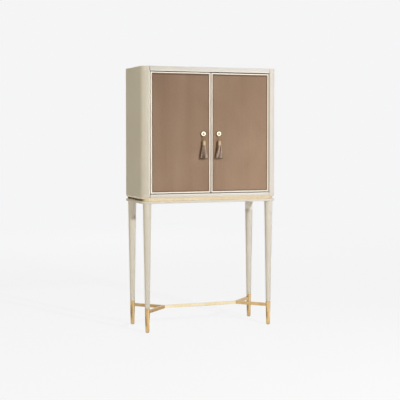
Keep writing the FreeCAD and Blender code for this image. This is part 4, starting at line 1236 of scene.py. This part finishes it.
# %% Geometry tree: cross-head screws, the head
cross_screws, bench, given, gives = new_group(
    "GeometryNodeTree", "cross_screws",
    {"Seats": (GEOMETRY, None), "Head Radius": (FLOAT, 0.0036), "Head Height": (FLOAT, 0.0024),
     "Shank Radius": (FLOAT, 0.00175), "Length": (FLOAT, 0.028), "Facing": (VECTOR, None),
     "Seed": (INTEGER, 11), "Material": (MATERIAL, None)},
    {"Geometry": GEOMETRY})
BLADE_REACH, BLADE_WIDTH = 1.15, 0.24
ball = bench.add("GeometryNodeMeshUVSphere", {"Segments": 28, "Rings": 14, "Radius": 1.0}).outputs[0]
flattened = bench.add("GeometryNodeTransform", {
    "Geometry": ball, "Scale": bench.join(given["Head Radius"], given["Head Radius"], given["Head Height"]),
    "Translation": bench.join(z=bench.times(given["Head Height"], -1.0))}).outputs[0]
long_side = bench.times(given["Head Radius"], BLADE_REACH)
short_side = bench.times(given["Head Radius"], BLADE_WIDTH)
blades = bench.add("GeometryNodeJoinGeometry")
for length, thickness in ((long_side, short_side), (short_side, long_side)):
    size = bench.join(length, thickness, given["Head Height"])
    bench.feed(blades.inputs[0], bench.add("GeometryNodeMeshCube", {"Size": size}).outputs[0])
head = bench.add("GeometryNodeMeshBoolean", {0: flattened, 1: blades.outputs[0], "Self Intersection": True},
                 operation="DIFFERENCE", solver="EXACT").outputs[0]
print("geometry tree:", cross_screws.name)

# %% [markdown]
# The shank hangs under the head. Head and shank are joined and copied to the seats, each turned about
# its own axis to where the screwdriver happened to leave it.

# %% Geometry tree: cross-head screws, the shank and the seats
SHANK_SIDES = 20
shank_length = bench.less(given["Length"], given["Head Height"])
shank = bench.add("GeometryNodeMeshCylinder", {"Vertices": SHANK_SIDES, "Radius": given["Shank Radius"],
                                               "Depth": shank_length}).outputs[0]
shank_middle = bench.less(bench.times(shank_length, -0.5), given["Head Height"])
shank = bench.add("GeometryNodeTransform", {"Geometry": shank,
                                            "Translation": bench.join(z=shank_middle)}).outputs[0]
screw = bench.add("GeometryNodeJoinGeometry")
for solid in (head, shank):
    bench.feed(screw.inputs[0], solid)
facing = bench.add("FunctionNodeAlignRotationToVector", {"Vector": given["Facing"]}, axis="Z").outputs[0]
driven = bench.add("FunctionNodeRandomValue", {"Min": 0.0, "Max": math.tau / 4, "Seed": given["Seed"]},
                   data_type="FLOAT").outputs["Value"]
own_turn = bench.add("FunctionNodeAxisAngleToRotation",
                     {"Axis": (0.0, 0.0, 1.0), "Angle": driven}).outputs[0]
spin = bench.add("FunctionNodeRotateRotation", {0: facing, 1: own_turn}, rotation_space="LOCAL").outputs[0]
close_tree(bench.add("GeometryNodeInstanceOnPoints", {"Points": given["Seats"],
                                                      "Instance": screw.outputs[0],
                                                      "Rotation": spin}).outputs[0])

heads = [((low.x + high.x) / 2, high.y, (low.z + high.z) / 2) for low, high in solids("back_screws")]
grow("cross_head_screws", cross_screws, {"Facing": (0.0, 1.0, 0.0)}, steel, "case", "steel", "back_screws",
     points=heads)
print("screws on the back:", len(heads))

# %% [markdown]
# ## Sky and floor
# The studio is plain. A weak even sky fills the shadows. The pale floor runs out into the same white as
# the backdrop: what the camera, metal and glass see of it is mostly its own glow, and the rest is lit,
# which keeps the cabinet's shadow.

# %% Sky
PAPER = linear(245, 245, 246)
SKY_ON_SURFACES = 0.17


def seen_directly(bench):
    """1 for the rays that show a background: the camera's, and those that metal and glass send on."""
    rays = bench.add("ShaderNodeLightPath").outputs
    return bench.most(rays["Is Camera Ray"], rays["Is Glossy Ray"], rays["Is Transmission Ray"])


world = bpy.data.worlds.new("studio")
scene.world = world
world.use_nodes = True
bench = Bench(world.node_tree)
sky = world.node_tree.nodes["Background"]
shown = seen_directly(bench)
bench.feed(sky.inputs["Color"], bench.blend(shown, linear(250, 242, 231), PAPER))
bench.feed(sky.inputs["Strength"], bench.remap(shown, 0.0, 1.0, SKY_ON_SURFACES, 1.0))
print("sky strength on surfaces:", SKY_ON_SURFACES)

# %% [markdown]
# Floor and cards are flat rectangles that stand in the studio and aren't part of the cabinet. Each has a
# plain material of its own.

# %% Studio kit
def panel(name, centre, size, aim):
    """A flat rectangle of studio kit that faces a point."""
    half_width, half_height = size[0] / 2, size[1] / 2
    mesh = bpy.data.meshes.new(name)
    mesh.from_pydata([(-half_width, -half_height, 0), (half_width, -half_height, 0),
                      (half_width, half_height, 0), (-half_width, half_height, 0)], [], [(0, 1, 2, 3)])
    made = bpy.data.objects.new(name, mesh)
    scene.collection.objects.link(made)
    turn = (Vector(aim) - Vector(centre)).to_track_quat("Z", "Y")
    mesh.transform(Matrix.Translation(centre) @ turn.to_matrix().to_4x4())
    return made


def stage_material(name):
    """A material for studio kit, its bench, and the surface input of its output."""
    material = bpy.data.materials.new(name)
    material.use_nodes = True
    tree = material.node_tree
    return material, Bench(tree), tree.nodes["Material Output"].inputs["Surface"]


print("shown in the background:", tuple(round(value, 3) for value in PAPER))

# %% [markdown]
# The floor is one large sheet. Near the cabinet it glows a little less than white and takes the light of
# the lamps, and from a few metres on it is all glow, so no horizon shows.

# %% Floor
FLOOR_GLOW_NEAR, FLOOR_GLOW_SHARE = 0.99, 0.85
FLOOR_NEAR, FLOOR_FAR = 1.5, 7.0

floor = panel("floor", (0, 0, 0), (120, 120), (0, 0, 1))
paper, bench, surface = stage_material("floor_paper")
where = bench.where()
distance = bench.vector("LENGTH", where)
lit = bench.add("ShaderNodeBsdfDiffuse", {
    "Color": bench.blend(bench.noise(where, 40.0, 3.0), linear(240, 240, 241), linear(246, 246, 247))})
glow = bench.add("ShaderNodeEmission", {
    "Color": PAPER,
    "Strength": bench.remap(distance, FLOOR_NEAR, FLOOR_FAR, FLOOR_GLOW_NEAR / PAPER[0], 1.0)})
share = bench.times(seen_directly(bench), bench.remap(distance, FLOOR_NEAR, FLOOR_FAR, FLOOR_GLOW_SHARE, 1.0))
bench.feed(surface, bench.add("ShaderNodeMixShader", {0: share, 1: lit.outputs[0],
                                                      2: glow.outputs[0]}).outputs[0])
floor.data.materials.append(paper)
print("floor:", tuple(round(value) for value in floor.dimensions))

# %% [markdown]
# ## Lamps
# A small far key stands in front, a little to the right and a little above, so the tassels throw narrow
# shadows down to the left. A large warm lamp lifts the left side, and another large one behind keeps the
# back and its screws readable. None of them is mirrored in the metal, which has its own cards.

# %% Lamps
def lamp(name, place, aim, size, power, colour=(1.0, 1.0, 1.0)):
    """A square lamp that lights surfaces but isn't mirrored in them."""
    data = bpy.data.lights.new(name, "AREA")
    data.size = size
    data.energy = power
    data.color = colour
    made = bpy.data.objects.new(name, data)
    scene.collection.objects.link(made)
    made.location = place
    made.rotation_euler = (Vector(aim) - Vector(place)).to_track_quat("-Z", "Y").to_euler()
    made.visible_glossy = False


lamp("key", (1.45, -4.73, 2.45), (0, 0, 1.15), 0.2, 171)
lamp("warm_fill", (-6.0, -1.0, 1.8), (0, 0, 0.9), 2.5, 130, (1.0, 0.92, 0.79))
lamp("back_fill", (1.2, 6.5, 2.4), (0, 0, 1.1), 2.5, 85)
print("lamps:", [light.name for light in bpy.data.lights])

# %% [markdown]
# ## Cards for the metal
# Polished brass shows what stands around it and nothing else, so bright and dark cards are placed where
# its faces look: a bright one in front to the right for the roses, a pale one low on the floor for the
# shoes and the bar, and darker ones to the left, which draw the left edges. By each foot lie two small
# ones of its own, a dim one to the left and a bright one to the right, which give every shoe a shaded
# and a gleaming side. They show only in reflections.

# %% Reflection cards
WHITE, DIM = (1.0, 1.0, 1.0, 1.0), linear(188, 180, 164)


def card(name, centre, size, aim, colour, strength):
    """A glowing rectangle that only reflections see."""
    made = panel(name, centre, size, aim)
    material, bench, surface = stage_material(name + "_glow")
    glow = bench.add("ShaderNodeEmission", {"Color": colour, "Strength": strength})
    bench.feed(surface, glow.outputs[0])
    made.data.materials.append(material)
    for kind in ("camera", "diffuse", "transmission", "shadow"):
        setattr(made, "visible_" + kind, False)


def foot_card(name, foot, aside, ahead, height, size, colour, strength):
    """A card that lies on the floor beside a foot and faces up."""
    x, y = foot.x + aside, foot.y + ahead
    card(name, (x, y, height), size, (x, y, 1.0), colour, strength)


card("rose_card", (1.5, -4.1, 1.5), (1.7, 1.2), (0, 0, 1.2), WHITE, 2.3)
card("floor_card", (0.75, -1.4, 0.003), (1.3, 2.4), (0.75, -1.4, 1.0), WHITE, 1.1)
card("left_card", (-3.6, 1.2, 1.0), (4.6, 2.6), (0, 0, 1.0), DIM, 0.45)
card("back_card", (-1.6, 3.6, 0.9), (2.6, 2.4), (0, 0, 0.8), DIM, 0.12)
for corner in CORNERS:
    low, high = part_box("sabot_" + corner)
    foot = (low + high) / 2
    foot_card(f"shade_{corner}_card", foot, -0.3, 0.1, 0.004, (0.28, 0.5), DIM, 0.5)
    foot_card(f"gleam_{corner}_card", foot, 0.26, -0.36, 0.005, (0.22, 0.36), WHITE, 1.4)

# %% [markdown]
# The dressed cabinet has to stay inside the CAD model's box.
